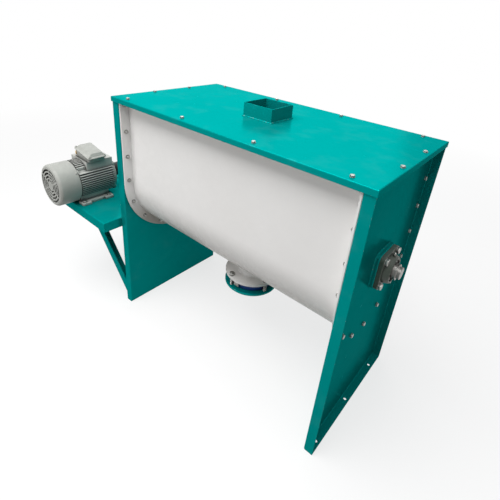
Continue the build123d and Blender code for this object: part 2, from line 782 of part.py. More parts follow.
def cooling_fan():
    """Radial fan on the motor shaft: a back plate, a hub and straight blades."""
    disc = rod_y(fan_radius, -fan_plate, 0) + rod_y(fan_hub, -fan_depth, 0)
    for i in range(8):
        disc += Rot(0, i * 45, 0) * block(fan_hub - 2, fan_radius - 2, -fan_depth - fan_plate, -1,
                                          -fan_blade / 2, fan_blade / 2)
    disc -= rod_y(motor_shaft_radius + seat_gap, -2 * fan_depth, fan_depth)
    return Pos(motor_x, fan_back, motor_z) * disc


def motor_shaft():
    """Motor shaft from the fan to the coupling, with the larger seats in the shields."""
    shaft = rod_y(motor_shaft_radius, fan_back - fan_depth - fan_plate - 2, shaft_tip_y)
    shaft += rod_y(shaft_seat, housing_front - shield_length, -motor_shoulder)
    return Pos(motor_x, 0, motor_z) * shaft


def motor_rotor():
    ring = rod_y(rotor_radius, housing_front + stack_inset, housing_rear - stack_inset)
    ring -= rod_y(shaft_seat + seat_gap, housing_front, housing_rear)
    return Pos(motor_x, 0, motor_z) * ring


def motor_stator():
    ring = rod_y(barrel_inner - seat_gap, housing_front + stack_inset, housing_rear - stack_inset)
    ring -= rod_y(rotor_radius + air_gap, housing_front, housing_rear)
    return Pos(motor_x, 0, motor_z) * ring


def terminal_box():
    """Cast box whose joint slopes down towards the mixer."""
    half = box_length / 2
    slope = math.tan(math.radians(box_tilt))
    right = half - box_draft / 2
    outline = Polyline((-half, 0), (half - box_draft, 0), (right, box_height - right * slope),
                       (-half, box_height + half * slope), close=True)
    body = Pos(0, box_width / 2, 0) * extrude(Plane.XZ * make_face(outline), box_width)
    inner_right = right - 2 * box_wall
    above = box_height + box_wall
    core = Polyline((-half + 2 * box_wall, box_wall), (inner_right, box_wall),
                    (inner_right, above - inner_right * slope), (-half + 2 * box_wall, above + half * slope),
                    close=True)
    body -= Pos(0, box_width / 2 - box_wall, 0) * extrude(Plane.XZ * make_face(core), box_width - 2 * box_wall)
    entry = rod_x(gland_radius - 2 + seat_gap, -half - 1, -half + 3 * box_wall, -gland_offset, box_height / 2)
    return Pos(box_x, box_y, box_base_z) * (body - entry)


def terminal_lid():
    """Bevelled lid on the sloping joint."""
    along = box_length / math.cos(math.radians(box_tilt)) + 2 * lid_overhang
    flange = extrude(RectangleRounded(along, box_width + 2 * lid_overhang, 8), lid_flange)
    crown_face = Pos(0, 0, lid_flange) * RectangleRounded(along - 14, box_width - 8, 10)
    crown = extrude(crown_face, lid_height - lid_flange, taper=lid_bevel)
    return Pos(box_x, box_y, lid_joint_z) * Rot(0, box_tilt, 0) * (flange + crown)


def terminal_gland():
    """Cable gland screwed into the outer side of the terminal box."""
    collar = hexagon(2 * gland_radius, gland_nut)
    collar += Pos(0, 0, gland_nut + gland_cap / 2) * Cylinder(gland_radius - 1.5, gland_cap)
    collar += Pos(0, 0, -gland_thread / 2) * Cylinder(gland_radius - 2, gland_thread)
    collar -= Cylinder(gland_bore, 4 * gland_thread)
    return Pos(gland_x, box_y - gland_offset, gland_z) * Rot(0, -90, 0) * collar


def coupling_hub(radius, length, bore, gap):
    """Jaw coupling hub on the Z axis: body from 0 down to -length, three jaws up to the gap."""
    hub = Pos(0, 0, -length / 2) * Cylinder(radius, length)
    hub = chamfer(hub.faces().sort_by(Axis.Z)[0].edges(), 2.0)
    ring = Pos(0, 0, gap / 2 - 0.5) * (Cylinder(radius, gap - 1) - Cylinder(radius * 0.45, gap))
    jaws = [ring & Rot(0, 0, 120 * i) * jaw_wedge(radius, gap, 34) for i in range(3)]
    hub += jaws
    return hub - Pos(0, 0, -length / 2) * Cylinder(bore + seat_gap, length + 2)


def jaw_wedge(radius, height, angle):
    far = 2 * radius
    half = math.radians(angle / 2)
    face = make_face(Polyline((0, 0), (far * math.cos(half), -far * math.sin(half)),
                              (far * math.cos(half), far * math.sin(half)), close=True))
    return extrude(face, height)


def coupling_spider(radius, gap):
    """Rubber spider: six pads between the jaws of both hubs."""
    ring = Pos(0, 0, gap / 2) * (Cylinder(radius - 1.0, gap - 0.6) - Cylinder(radius * 0.25, gap))
    core = Pos(0, 0, gap / 2) * (Cylinder(radius * 0.42, gap - 0.6) - Cylinder(radius * 0.25, gap))
    pads = [ring & Rot(0, 0, 30 + 60 * i) * Pos(0, 0, 0.3) * jaw_wedge(radius, gap - 0.6, 25) for i in range(6)]
    return core + pads


def small_coupling():
    """Hubs and spider between the motor shaft and the worm shaft."""
    front = Pos(motor_x, spider_front, motor_z) * Rot(-90, 0, 0)
    rear = Pos(motor_x, spider_rear, motor_z) * Rot(90, 0, 0) * Rot(0, 0, 60)
    motor_side = front * coupling_hub(hub_radius, motor_hub_length, motor_shaft_radius, spider_thick)
    worm_side = rear * coupling_hub(hub_radius, input_hub_length, input_radius, spider_thick)
    return motor_side, front * coupling_spider(hub_radius, spider_thick), worm_side


def big_coupling():
    """Hubs and spider between the agitator shaft and the reducer output shaft."""
    near = Pos(big_hub_near, 0, shaft_height) * Rot(0, -90, 0)
    far = Pos(big_spider_far, 0, shaft_height) * Rot(0, 90, 0)
    mixer_side = near * coupling_hub(big_hub_radius, big_hub_length, journal_radius, big_spider)
    reducer_side = far * coupling_hub(big_hub_radius, big_hub_length, output_radius, big_spider)
    return mixer_side, near * coupling_spider(big_hub_radius, big_spider), reducer_side


def reducer_housing():
    """Cast worm-gear case: upright wheel drum, worm barrel below it, ribbed base."""
    base_top = reducer_base_z - motor_z + reducer_base_thick
    base_low = reducer_base_z - motor_z
    half = reducer_base / 2
    base = block(-half, half, -half, half, base_low, base_top)
    base = fillet(base.edges().filter_by(Axis.Z), 12)
    drum = rod_x(case_radius, -case_half, case_half, 0, worm_distance)
    barrel = rod_y(worm_barrel_radius, -reducer_half, reducer_half)
    shoulder = reducer_half - 12
    flank = Polyline((-case_radius, worm_distance), (case_radius, worm_distance), (shoulder, 0),
                     (-shoulder, 0), close=True)
    skirt = Pos(-case_half, 0, 0) * extrude(Plane.YZ * make_face(flank), case_width)
    pedestal = block(-case_half + 6, case_half - 6, -reducer_half + 14, reducer_half - 14, base_low, 10)
    ribs = [block(-half + 10, half - 10, y - 4, y + 4, base_low, -8) for y in (-36, 0, 36)]
    body = drum + barrel + skirt + pedestal + base
    body += ribs
    body += rod_z(14, worm_distance + case_radius - 6, worm_distance + case_radius + 6)
    cuts = [rod_x(case_inner, -case_half - 1, case_half + 1, 0, worm_distance)]
    cuts += [rod_y(worm_chamber, -reducer_half + 12, reducer_half - 12)]
    cuts += [rod_y(input_radius + running_gap, -reducer_half - 1, reducer_half - 11)]
    cuts += [rod_y(input_radius + running_gap, reducer_half - 13, reducer_half - 6)]
    cuts += [rod_z(clearance(12), base_low - 1, base_top + 1, x - motor_x, y)
             for x, y in reducer_bolt_places()]
    return Pos(motor_x, 0, motor_z) * (body - cuts)


def reducer_cover(side):
    """Round bolted side cover with its bearing boss; only the output side is open."""
    x0 = case_half
    x1 = x0 + side_cover_thick
    plate = rod_x(side_cover_radius, x0, x1) + rod_x(output_boss_radius, x1, x1 + output_boss_length)
    plate = chamfer(plate.faces().sort_by(Axis.X)[-1].edges(), 2.0)
    plate += rod_x(case_inner - 0.5, x0 - 8, x0)
    plate -= rod_x(44, x0 - 9, x0 + 2)
    if side > 0:
        plate -= rod_x(output_radius + running_gap, x0 - 10, x1 + output_boss_length + 1)
    screws = [Pos(x1, 0, 0) * Rot(60 * i + 30, 0, 0) * Pos(0, 0, side_cover_radius - 9) * Rot(0, 90, 0)
              * hexagon(HEX[8][0], HEX[8][1]) for i in range(6)]
    plate += screws
    if side < 0:
        plate = mirror(plate, about=Plane.YZ)
    return Pos(motor_x, 0, shaft_height) * plate


def reducer_riser():
    """Hat-shaped stool under the reducer, bolted to the platform."""
    height = reducer_base_z - platform_top
    half = reducer_base / 2
    foot = half + riser_flange
    t = riser_plate
    outline = Polyline((-foot, 0), (-half + t, 0), (-half + t, height - t), (half - t, height - t),
                       (half - t, 0), (foot, 0), (foot, t), (half, t), (half, height), (-half, height),
                       (-half, t), (-foot, t), close=True)
    hat = Pos(0, half, 0) * extrude(Plane.XZ * make_face(outline), reducer_base)
    places = riser_bolt_places() + reducer_bolt_places()
    holes = [rod_z(clearance(12), -1, height + 1, x - motor_x, y) for x, y in places]
    return Pos(motor_x, 0, platform_top) * (hat - holes)


def drive_bolts():
    """Bolts of the motor feet, the reducer base and the riser."""
    foot_grip = foot_thick + platform_sheet + 14
    base_grip = reducer_base_thick + riser_plate + 14
    riser_grip = riser_plate + platform_sheet + 14
    motor = [Pos(x, y, platform_top + foot_thick) * bolt(12, foot_grip) for x, y in motor_bolt_places()]
    base = [Pos(x, y, reducer_base_z + reducer_base_thick) * bolt(12, base_grip)
            for x, y in reducer_bolt_places()]
    riser = [Pos(x, y, platform_top + riser_plate) * bolt(12, riser_grip) for x, y in riser_bolt_places()]
    return motor + base + riser


def drive_nuts():
    under = Rot(180, 0, 0) * nut(12)
    places = motor_bolt_places() + riser_bolt_places()
    nuts = [Pos(x, y, platform_under) * under for x, y in places]
    nuts += [Pos(x, y, reducer_base_z - riser_plate) * under for x, y in reducer_bolt_places()]
    return nuts


def output_shaft():
    """Reducer output shaft, from the blind cover to the large coupling."""
    start = motor_x - case_half + 4
    end = big_spider_far - coupling_clear
    return rod_x(output_radius, start, end, 0, shaft_height)


def worm_wheel():
    """Toothed wheel on the output shaft."""
    wheel = rod_x(wheel_radius, -wheel_width / 2, wheel_width / 2)
    slot = block(-wheel_width, wheel_width, -tooth_gap / 2, tooth_gap / 2, wheel_radius - tooth_depth,
                 wheel_radius + tooth_depth)
    wheel -= [Rot(360 / wheel_teeth * i, 0, 0) * slot for i in range(wheel_teeth)]
    wheel -= rod_x(output_radius + seat_gap, -wheel_width, wheel_width)
    return Pos(motor_x, 0, shaft_height) * wheel


def worm_shaft():
    """Worm with its input shaft in the reducer barrel."""
    shaft = rod_y(input_radius, spider_rear + coupling_clear, reducer_half - 8)
    shaft += rod_y(worm_core, -worm_length / 2, worm_length / 2)
    turns = int(worm_length / worm_pitch / 2 - 0.5)
    for i in range(-turns, turns + 1):
        shaft += rod_y(worm_radius, i * worm_pitch - worm_pitch / 4, i * worm_pitch + worm_pitch / 4)
    return Pos(motor_x, 0, motor_z) * shaft


def discharge_neck():
    """Neck welded under the trough, with the round flange of the valve."""
    neck = rod_z(neck_outer, neck_flange_z + 1, shaft_height - wall_radius / 2)
    neck -= rod_x(wall_radius + seat_gap, -neck_outer - 5, neck_outer + 5, 0, shaft_height)
    ring = rod_z(flange_radius, neck_flange_z, neck_flange_z + neck_flange)
    bead = Pos(0, 0, neck_flange_z + neck_flange) * cone_z(neck_outer + weld_leg, neck_outer, weld_leg)
    body = ring + neck + bead
    return body - [rod_z(neck_inner, neck_flange_z - 1, shaft_height)] - stud_holes(neck_flange_z, neck_flange)


def stud_places():
    """Places (x, y) of the studs, turned so that they pass beside the valve's stem."""
    angles = [math.radians(stud_turn + 360.0 / stud_count * i) for i in range(stud_count)]
    return [(stud_circle * math.cos(angle), stud_circle * math.sin(angle)) for angle in angles]


def stud_holes(z, thick):
    return [rod_z(stud_radius + bolt_gap, z - 1, z + thick + 1, x, y) for x, y in stud_places()]


def valve_body():
    """Wafer body of the butterfly valve, with its stem neck to the rear and a blind boss in front."""
    body = rod_z(valve_radius, valve_under, neck_flange_z)
    body = chamfer(body.edges(), 2.0)
    body += rod_y(valve_neck_radius, 0, valve_neck_end, 0, valve_z)
    boss = block(-boss_width / 2, boss_width / 2, boss_front, boss_front + boss_width,
                 valve_z - boss_height / 2, valve_z + boss_height / 2)
    body += boss
    body += block(-pad_half_x, pad_half_x, valve_neck_end - pad_thick, valve_neck_end,
                  valve_z - pad_half_z, valve_z + pad_half_z)
    cuts = [rod_z(outlet_bore + liner_wall, valve_under - 1, neck_flange_z + 1)]
    cuts += [rod_y(stem_radius + running_gap, -valve_radius, valve_neck_end + 1, 0, valve_z)]
    return body - cuts


def valve_liner():
    """Rubber liner of the valve bore, with the two stem holes."""
    ring = rod_z(outlet_bore + liner_wall - seat_gap, valve_under, neck_flange_z)
    ring -= rod_z(outlet_bore, valve_under - 1, neck_flange_z + 1)
    return ring - rod_y(stem_radius + running_gap, -valve_radius, valve_radius, 0, valve_z)


def valve_disc():
    """Lens-shaped disc with the boss for its stem."""
    lens = rod_z(disc_radius, -disc_thick / 2, disc_thick / 2)
    ball = Sphere(disc_radius)
    hub = rod_y(stem_radius + 5, -disc_radius + 6, disc_radius - 6)
    body = (lens & ball) + (hub & ball)
    body -= rod_y(stem_radius + seat_gap, -disc_radius - 1, disc_radius + 1)
    return Pos(0, 0, valve_z) * body


def valve_stem():
    start = -valve_radius + 2
    return rod_y(stem_radius, start, valve_neck_end + quadrant_thick + lever_thick + 8, 0, valve_z)


def stem_cap():
    """Plain steel cap screwed over the front boss of the valve body."""
    cap = block(-boss_width / 2 + 1, boss_width / 2 - 1, boss_front - cap_thick, boss_front,
                valve_z - boss_height / 2 + 1, valve_z + boss_height / 2 - 1)
    return fillet(cap.edges().filter_by(Axis.Y), 3)


def lever_quadrant():
    """Quarter plate on the stem neck; its curved slot ends the travel of the clamp screw."""
    y0 = valve_neck_end
    y1 = y0 + quadrant_thick
    plate = rod_y(quadrant_radius, y0, y1)
    plate &= block(-24, quadrant_radius + 1, y0, y1, -quadrant_radius - 1, 24)
    half = clearance(8)
    slot = rod_y(clamp_circle + half, y0 - 1, y1 + 1) - rod_y(clamp_circle - half, y0 - 2, y1 + 2)
    slot &= block(0, quadrant_radius, y0 - 1, y1 + 1, -quadrant_radius, 0)
    ends = [rod_y(half, y0 - 1, y1 + 1, clamp_circle, 0), rod_y(half, y0 - 1, y1 + 1, 0, -clamp_circle)]
    return Pos(0, 0, valve_z) * (plate - slot - ends - rod_y(clearance(16), y0 - 1, y1 + 1))


def valve_lever():
    """Flat lever with a rounded grip, clamped on the stem, with the hole of its clamp screw."""
    y0 = lever_face
    y1 = y0 + lever_thick
    bar = block(0, lever_length, y0, y1, -lever_width / 2, lever_width / 2)
    bar += rod_y(lever_width / 2 + 4, y0, y1)
    bar = fillet(bar.edges().filter_by(Axis.Y).sort_by(Axis.X)[-2:], 9)
    cuts = [rod_y(stem_radius + seat_gap, y0 - 1, y1 + 1)]
    cuts += [rod_y(clamp_radius + seat_gap, y0 - 1, y1 + 1, clamp_circle, 0)]
    cuts += [rod_y(5.0, y0 - 1, y1 + 1, lever_length - 14, 0)]
    return Pos(0, 0, valve_z) * (bar - cuts)


def clamp_screw():
    """Round-headed screw through the slot and the lever; the head runs behind the quadrant."""
    top = lever_face + lever_thick + wing_height + clamp_radius
    low = valve_neck_end - lever_gap
    screw = rod_y(clamp_radius, low - 1, top) + rod_y(clamp_head, low - clamp_head_thick, low)
    return Pos(clamp_circle, 0, valve_z) * chamfer(screw.faces().sort_by(Axis.Y)[-1].edges(), 1.0)


def wing_nut():
    """Wing nut that clamps the lever on the quadrant."""
    hub = cone_z(2 * clamp_radius, 1.5 * clamp_radius, wing_height)
    for side in (-1, 1):
        wing = Pos(side * 12, 0, wing_height) * Rot(90, 0, 0) * Cylinder(7, 3)
        root = block(0, side * 14, -1.5, 1.5, 3, wing_height)
        hub += wing + root
    hub -= Pos(0, 0, wing_height) * Cylinder(clamp_radius + running_gap, 4 * wing_height)
    base = lever_face + lever_thick + lever_gap
    return Pos(clamp_circle, base, valve_z) * Rot(-90, 0, 0) * hub


def outlet_ring():
    """Lower flange of the discharge."""
    ring = rod_z(flange_radius, outlet_height, valve_under)
    ring = chamfer(ring.edges(), 1.5)
    ring -= rod_z(outlet_bore + outlet_relief, outlet_height - 1, valve_under + 1)
    tapped = [rod_z(stud_radius + seat_gap, outlet_height - 1, valve_under + 1, x, y)
              for x, y in stud_places()]
    return ring - tapped


def valve_studs():
    low = outlet_height + stud_tail
    high = neck_flange_z + neck_flange + HEX[16][2] + stud_beyond
    return [rod_z(stud_radius, low, high, x, y) for x, y in stud_places()]


def valve_nuts():
    return [Pos(x, y, neck_flange_z + neck_flange) * nut(16) for x, y in stud_places()]


def machine():
    """Every node of the mixer in the working frame; a list is a node of loose pieces."""
    nodes = {}
    frame = end_frame()
    nodes["end_frame_free"] = frame
    nodes["end_frame_drive"] = to_drive_end(frame)
    nodes["trough_shell"] = trough_shell()
    nodes["trough_flanges"] = pair(trough_flange())
    nodes["gaskets"] = pair(end_gasket_sheet()) + [cover_seal()]
    nodes["end_fasteners"] = pair(*end_bolts()) + pair(*end_nuts())
    nodes["cover"] = cover()
    nodes["cover_bolts"] = cover_bolts()
    nodes["inlet_collar"] = inlet_collar()

    nodes["bearing_seats"] = pair(bearing_seat())
    nodes["shaft_seals"] = pair(shaft_seal())
    housing = bearing_housing()
    nodes["bearing_housing_free"] = housing
    nodes["bearing_housing_drive"] = to_drive_end(housing)
    nodes["bearing_outer_rings"] = pair(bearing_outer_ring())
    nodes["bearing_inner_rings"] = pair(bearing_inner_ring())
    nodes["bearing_bolts"] = pair(*bearing_bolts())

    nodes["agitator_shaft"] = agitator_shaft()
    outer = ribbon(ribbon_radius, outer_ribbon_width, 1, 0)
    inner = ribbon(inner_ribbon_radius, inner_ribbon_width, -1, 180)
    nodes["outer_ribbon_free"] = outer
    nodes["outer_ribbon_drive"] = to_drive_end(outer)
    nodes["inner_ribbon_free"] = inner
    nodes["inner_ribbon_drive"] = to_drive_end(inner)
    rods = spokes(ribbon_radius - outer_ribbon_width, 1, 0)
    rods += spokes(inner_ribbon_radius - inner_ribbon_width, -1, 180)
    nodes["ribbon_spokes"] = pair(*rods)
    nodes["end_scrapers"] = pair(scraper())

    nodes["motor_platform"] = platform()
    nodes["platform_braces"] = [brace(), mirror(brace(), about=Plane.XZ)]
    nodes["motor_housing"] = motor_housing()
    under_cowl = cowl_radius - cowl_sheet - 0.3
    nodes["motor_shields"] = [motor_shield(housing_rear, 1, cowl_radius),
                              motor_shield(housing_front, -1, under_cowl)]
    nodes["fan_cowl"] = fan_cowl()
    nodes["cooling_fan"] = cooling_fan()
    nodes["motor_rotor"] = [motor_shaft(), motor_rotor()]
    nodes["motor_stator"] = motor_stator()
    nodes["terminal_box"] = terminal_box()
    nodes["terminal_box_lid"] = terminal_lid()
    nodes["cable_gland"] = terminal_gland()
    nodes["motor_coupling_hub"], nodes["motor_spider"], nodes["worm_coupling_hub"] = small_coupling()

    nodes["reducer_riser"] = reducer_riser()
    nodes["reducer_housing"] = reducer_housing()
    nodes["reducer_covers"] = [reducer_cover(1), reducer_cover(-1)]
    nodes["worm_wheel"] = worm_wheel()
    nodes["worm_shaft"] = worm_shaft()
    nodes["output_shaft"] = output_shaft()
    nodes["agitator_coupling_hub"], nodes["agitator_spider"], nodes["output_coupling_hub"] = big_coupling()
    nodes["drive_fasteners"] = drive_bolts() + shield_bolts() + drive_nuts()

    nodes["discharge_neck"] = discharge_neck()
    nodes["valve_body"] = valve_body()
    nodes["valve_liner"] = valve_liner()
    nodes["valve_disc"] = valve_disc()
    nodes["valve_stem"] = valve_stem()
    nodes["stem_cap"] = stem_cap()
    nodes["lever_quadrant"] = lever_quadrant()
    nodes["valve_lever"] = valve_lever()
    nodes["clamp_screw"] = clamp_screw()
    nodes["wing_nut"] = wing_nut()
    nodes["outlet_flange"] = outlet_ring()
    nodes["valve_studs"] = valve_studs() + valve_nuts()
    return nodes


def place(node):
    """Move a piece, or a list of loose pieces, to the middle of the machine's footprint."""
    move = Pos(-footprint_x, -footprint_y, 0)
    if isinstance(node, list):
        return Compound([move * solid for piece in node for solid in piece.solids()])
    return move * node


def main():
    os.makedirs("parts", exist_ok=True)
    for name, shape in machine().items():
        export_step(place(shape), "parts/" + name + ".step")


if __name__ == "__main__":
    main()
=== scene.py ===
import json
import math
from collections import namedtuple

import bpy
from mathutils import Matrix, Vector


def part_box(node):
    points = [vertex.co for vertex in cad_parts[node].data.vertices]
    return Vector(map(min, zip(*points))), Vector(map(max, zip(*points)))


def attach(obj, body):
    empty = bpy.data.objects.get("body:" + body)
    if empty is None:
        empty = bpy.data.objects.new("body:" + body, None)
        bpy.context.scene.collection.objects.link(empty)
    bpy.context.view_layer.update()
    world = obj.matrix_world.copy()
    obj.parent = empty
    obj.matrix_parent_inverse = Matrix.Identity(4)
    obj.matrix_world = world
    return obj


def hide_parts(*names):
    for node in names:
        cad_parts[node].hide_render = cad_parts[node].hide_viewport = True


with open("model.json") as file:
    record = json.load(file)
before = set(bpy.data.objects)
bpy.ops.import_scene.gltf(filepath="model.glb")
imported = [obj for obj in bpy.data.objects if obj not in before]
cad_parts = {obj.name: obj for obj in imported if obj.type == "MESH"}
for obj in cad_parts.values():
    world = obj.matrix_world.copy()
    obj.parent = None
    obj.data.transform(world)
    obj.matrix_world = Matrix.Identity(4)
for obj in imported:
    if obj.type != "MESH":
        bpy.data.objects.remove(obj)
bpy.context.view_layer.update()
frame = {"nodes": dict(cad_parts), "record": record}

# Looks of a horizontal ribbon dough mixer, in metres, in the same frame as the solids:
# X along the agitator shaft, Y across with the operator at -Y, Z up from the floor.

# Camera found from the photograph: its place, the directions of the picture, and its lens
EYE = (1.13599, -1.19849, 1.55765)
RIGHT = Vector((0.75906638, 0.64612547, 0.0796248))
DOWN = Vector((0.33607662, -0.28416442, -0.89794381))
FORWARD = Vector((-0.55755783, 0.70835899, -0.43284732))
LENS = 27.14
SHIFT = (0.001, -0.118)

# Colours of enamel, metal and rubber, linear
TURQUOISE = (0.0, 0.265, 0.253)
TURQUOISE_DEEP = (0.0, 0.23, 0.221)
TURQUOISE_FLECK = (0.0, 0.38, 0.36)
TURQUOISE_GLOSS = (0.12, 0.66, 0.64, 1.0)
PRIMER = (0.32, 0.33, 0.32)
OFF_WHITE = (0.9, 0.89, 0.875)
OFF_WHITE_WARM = (0.82, 0.8, 0.78)
FLOUR_SMEAR = (0.62, 0.59, 0.55)
# Brown stain with painted shade, for the trough's belly
BELLY_STAIN_AND_SHADE = (0.5, 0.44, 0.38)
BARE_SHEET = (0.3, 0.3, 0.3)
MOTOR_GREY = (0.4, 0.41, 0.38)
CASTING_GREY = (0.52, 0.53, 0.5)
OLIVE = (0.082, 0.102, 0.079)
VALVE_BLUE = (0.011, 0.045, 0.23)
DUST = (0.25, 0.245, 0.23)
ENAMEL_DUST = (0.12, 0.36, 0.34)
CAST = (0.13, 0.135, 0.135)
STEEL = (0.29, 0.28, 0.265)
STAINLESS = (0.6, 0.6, 0.585)
BRASS = (0.62, 0.4, 0.13)
BRONZE = (0.5, 0.31, 0.13)
ZINC = (0.36, 0.36, 0.345)
ZINC_SPANGLE = (0.42, 0.42, 0.39)
ZINC_STAIN = (0.33, 0.3, 0.24)
# Painted shade at the foot of fasteners
FASTENER_FOOT_SHADE = (0.03, 0.03, 0.028)
BLACK_IRON = (0.03, 0.03, 0.031)
BLACK_IRON_WORN = (0.07, 0.068, 0.065)
VARNISHED_COPPER = (0.2, 0.07, 0.025)
BRIGHT_COPPER = (0.33, 0.14, 0.05)
BLACK_RUBBER = (0.018, 0.018, 0.019)
GREY_RUBBER = (0.5, 0.49, 0.47)
RED_RUBBER = (0.42, 0.045, 0.018)
BLACK_PLASTIC = (0.02, 0.02, 0.02)

# Studio
FLOOR_PALE = (0.92, 0.915, 0.91)
FLOOR_BOUNCE = (0.27, 0.26, 0.25)   # what the floor throws back on the object
FLOOR_GLOW = 0.72                   # share of plain white near the object, all of it far away
GLOW_NEAR = 1.2
GLOW_FAR = 5.0
DAYLIGHT = (0.9, 0.95, 1.0)
WORLD_LIGHT = 0.22
WHITE = (1.0, 1.0, 1.0)

# Sockets of a Mix node: the two inputs and the result, for numbers and for colours
MIX_NUMBERS = (2, 3, 0)
MIX_COLOURS = (6, 7, 2)


class Finish:
    """A procedural finish on Object coordinates, built up node by node."""

    def __init__(self, name, colour, rough, metal=0.0):
        self.material = bpy.data.materials.new(name)
        self.material.use_nodes = True
        self.tree = self.material.node_tree
        self.shader = self.tree.nodes["Principled BSDF"]
        self.place = self.tree.nodes.new("ShaderNodeTexCoord").outputs["Object"]
        self.shader.inputs["Metallic"].default_value = metal
        self.colour = (*colour, 1.0)
        self.rough = rough
        self.normal = None

    def node(self, kind, **sockets):
        made = self.tree.nodes.new(kind)
        for key, value in sockets.items():
            self.feed(made.inputs[key], value)
        return made

    def feed(self, socket, value):
        if isinstance(value, bpy.types.NodeSocket):
            self.tree.links.new(value, socket)
        else:
            socket.default_value = value

    def noise(self, size, detail=3.0, rough=0.5, stretch=(1, 1, 1)):
        """Grey noise with spots of about the given size in metres."""
        place = self.node("ShaderNodeMapping", Vector=self.place, Scale=stretch).outputs["Vector"]
        made = self.node("ShaderNodeTexNoise", Vector=place, Scale=1.0 / size, Detail=detail,
                         Roughness=rough)
        return made.outputs["Fac"]

    def cells(self, size):
        made = self.node("ShaderNodeTexVoronoi", Vector=self.place, Scale=1.0 / size)
        return made.outputs["Distance"]

    def ramp(self, factor, low, high, start=0.0, end=1.0):
        """The factor spread from low..high to start..end, clamped."""
        made = self.node("ShaderNodeMapRange", Value=factor)
        for socket, number in (("From Min", low), ("From Max", high), ("To Min", start), ("To Max", end)):
            made.inputs[socket].default_value = number
        return made.outputs["Result"]

    def both(self, a, b):
        """Product of two factors."""
        made = self.tree.nodes.new("ShaderNodeMath")
        made.operation = "MULTIPLY"
        self.feed(made.inputs[0], a)
        self.feed(made.inputs[1], b)
        return made.outputs[0]

    def blend(self, factor, other):
        """Lay another colour over the one so far."""
        first, second, result = MIX_COLOURS
        made = self.tree.nodes.new("ShaderNodeMix")
        made.data_type = "RGBA"
        self.feed(made.inputs["Factor"], factor)
        self.feed(made.inputs[first], self.colour)
        self.feed(made.inputs[second], (*other, 1.0))
        self.colour = made.outputs[result]

    def roughen(self, factor, other):
        """Change the roughness so far towards another where the factor is high."""
        first, second, result = MIX_NUMBERS
        made = self.tree.nodes.new("ShaderNodeMix")
        self.feed(made.inputs["Factor"], factor)
        self.feed(made.inputs[first], self.rough)
        self.feed(made.inputs[second], other)
        self.rough = made.outputs[result]

    def bump(self, height, depth):
        """Relief of the given depth in metres."""
        made = self.node("ShaderNodeBump", Height=height, Strength=1.0, Distance=depth)
        if self.normal:
            self.feed(made.inputs["Normal"], self.normal)
        self.normal = made.outputs["Normal"]

    def height(self):
        """Height over the floor."""
        made = self.node("ShaderNodeSeparateXYZ", Vector=self.place)
        return made.outputs["Z"]

    def upward(self):
        """1 where the surface faces up, 0 where it stands or hangs."""
        geometry = self.tree.nodes.new("ShaderNodeNewGeometry")
        made = self.node("ShaderNodeSeparateXYZ", Vector=geometry.outputs["Normal"])
        return self.ramp(made.outputs["Z"], 0.5, 0.95)

    def rounded(self, radius):
        """Normal of the surface as if its edges were rounded."""
        made = self.node("ShaderNodeBevel", Radius=radius)
        made.samples = 4
        return made.outputs["Normal"]

    def soft_edges(self, radius):
        self.normal = self.rounded(radius)

    def edges(self, radius):
        """1 along sharp outer edges, from the difference of the rounded and the flat normal."""
        soft = self.rounded(radius)
        flat = self.tree.nodes.new("ShaderNodeNewGeometry")
        dot = self.tree.nodes.new("ShaderNodeVectorMath")
        dot.operation = "DOT_PRODUCT"
        self.feed(dot.inputs[0], soft)
        self.feed(dot.inputs[1], flat.outputs["Normal"])
        return self.ramp(dot.outputs["Value"], 0.995, 0.93)

    def hollows(self, reach, open_sky=0.8, deep=0.32):
        """1 deep in gaps and corners, 0 on open surfaces; the finishes paint shade into hollows with it."""
        shelter = self.node("ShaderNodeAmbientOcclusion", Distance=reach)
        shelter.samples = 8
        return self.ramp(shelter.outputs["AO"], open_sky, deep)

    def set(self, **numbers):
        for key, number in numbers.items():
            self.shader.inputs[key.replace("_", " ")].default_value = number

    def done(self):
        self.feed(self.shader.inputs["Base Color"], self.colour)
        self.feed(self.shader.inputs["Roughness"], self.rough)
        if self.normal:
            self.feed(self.shader.inputs["Normal"], self.normal)
        return self.material


def darker(colour, share):
    return tuple(c * share for c in colour)


def paler(colour, share, lift):
    return tuple(min(1.0, c * share + lift) for c in colour)


def gloss_enamel(name, colour, deep):
    """Sprayed gloss enamel: orange peel, slow change of tone, thin dust and a little edge wear."""
    tone, fleck, dust, cloud, chip = 0.5, 0.0009, 0.11, 0.06, 0.012
    orange_peel, sheet_wave = 0.004, 0.16
    coat = Finish(name, colour, 0.2)
    coat.soft_edges(0.0012)
    coat.blend(coat.ramp(coat.noise(tone, 2.0), 0.35, 0.7, 0.0, 0.4), deep)
    coat.blend(coat.ramp(coat.noise(fleck, 1.0), 0.3, 0.8, 0.0, 0.06), TURQUOISE_FLECK)
    coat.blend(coat.ramp(coat.noise(dust, 8.0, 0.62), 0.5, 0.78, 0.0, 0.105), ENAMEL_DUST)
    coat.roughen(coat.ramp(coat.noise(cloud, 6.0, 0.7), 0.45, 0.75), 0.3)
    wear = coat.both(coat.edges(0.0018), coat.ramp(coat.noise(chip, 5.0, 0.7), 0.56, 0.66))
    coat.blend(wear, PRIMER)
    coat.roughen(wear, 0.55)
    coat.bump(coat.noise(orange_peel, 2.0), 0.00004)
    coat.bump(coat.noise(sheet_wave, 2.0), 0.0004)
    coat.set(Specular_IOR_Level=0.0, Metallic=0.3, Specular_Tint=TURQUOISE_GLOSS)
    return coat.done()


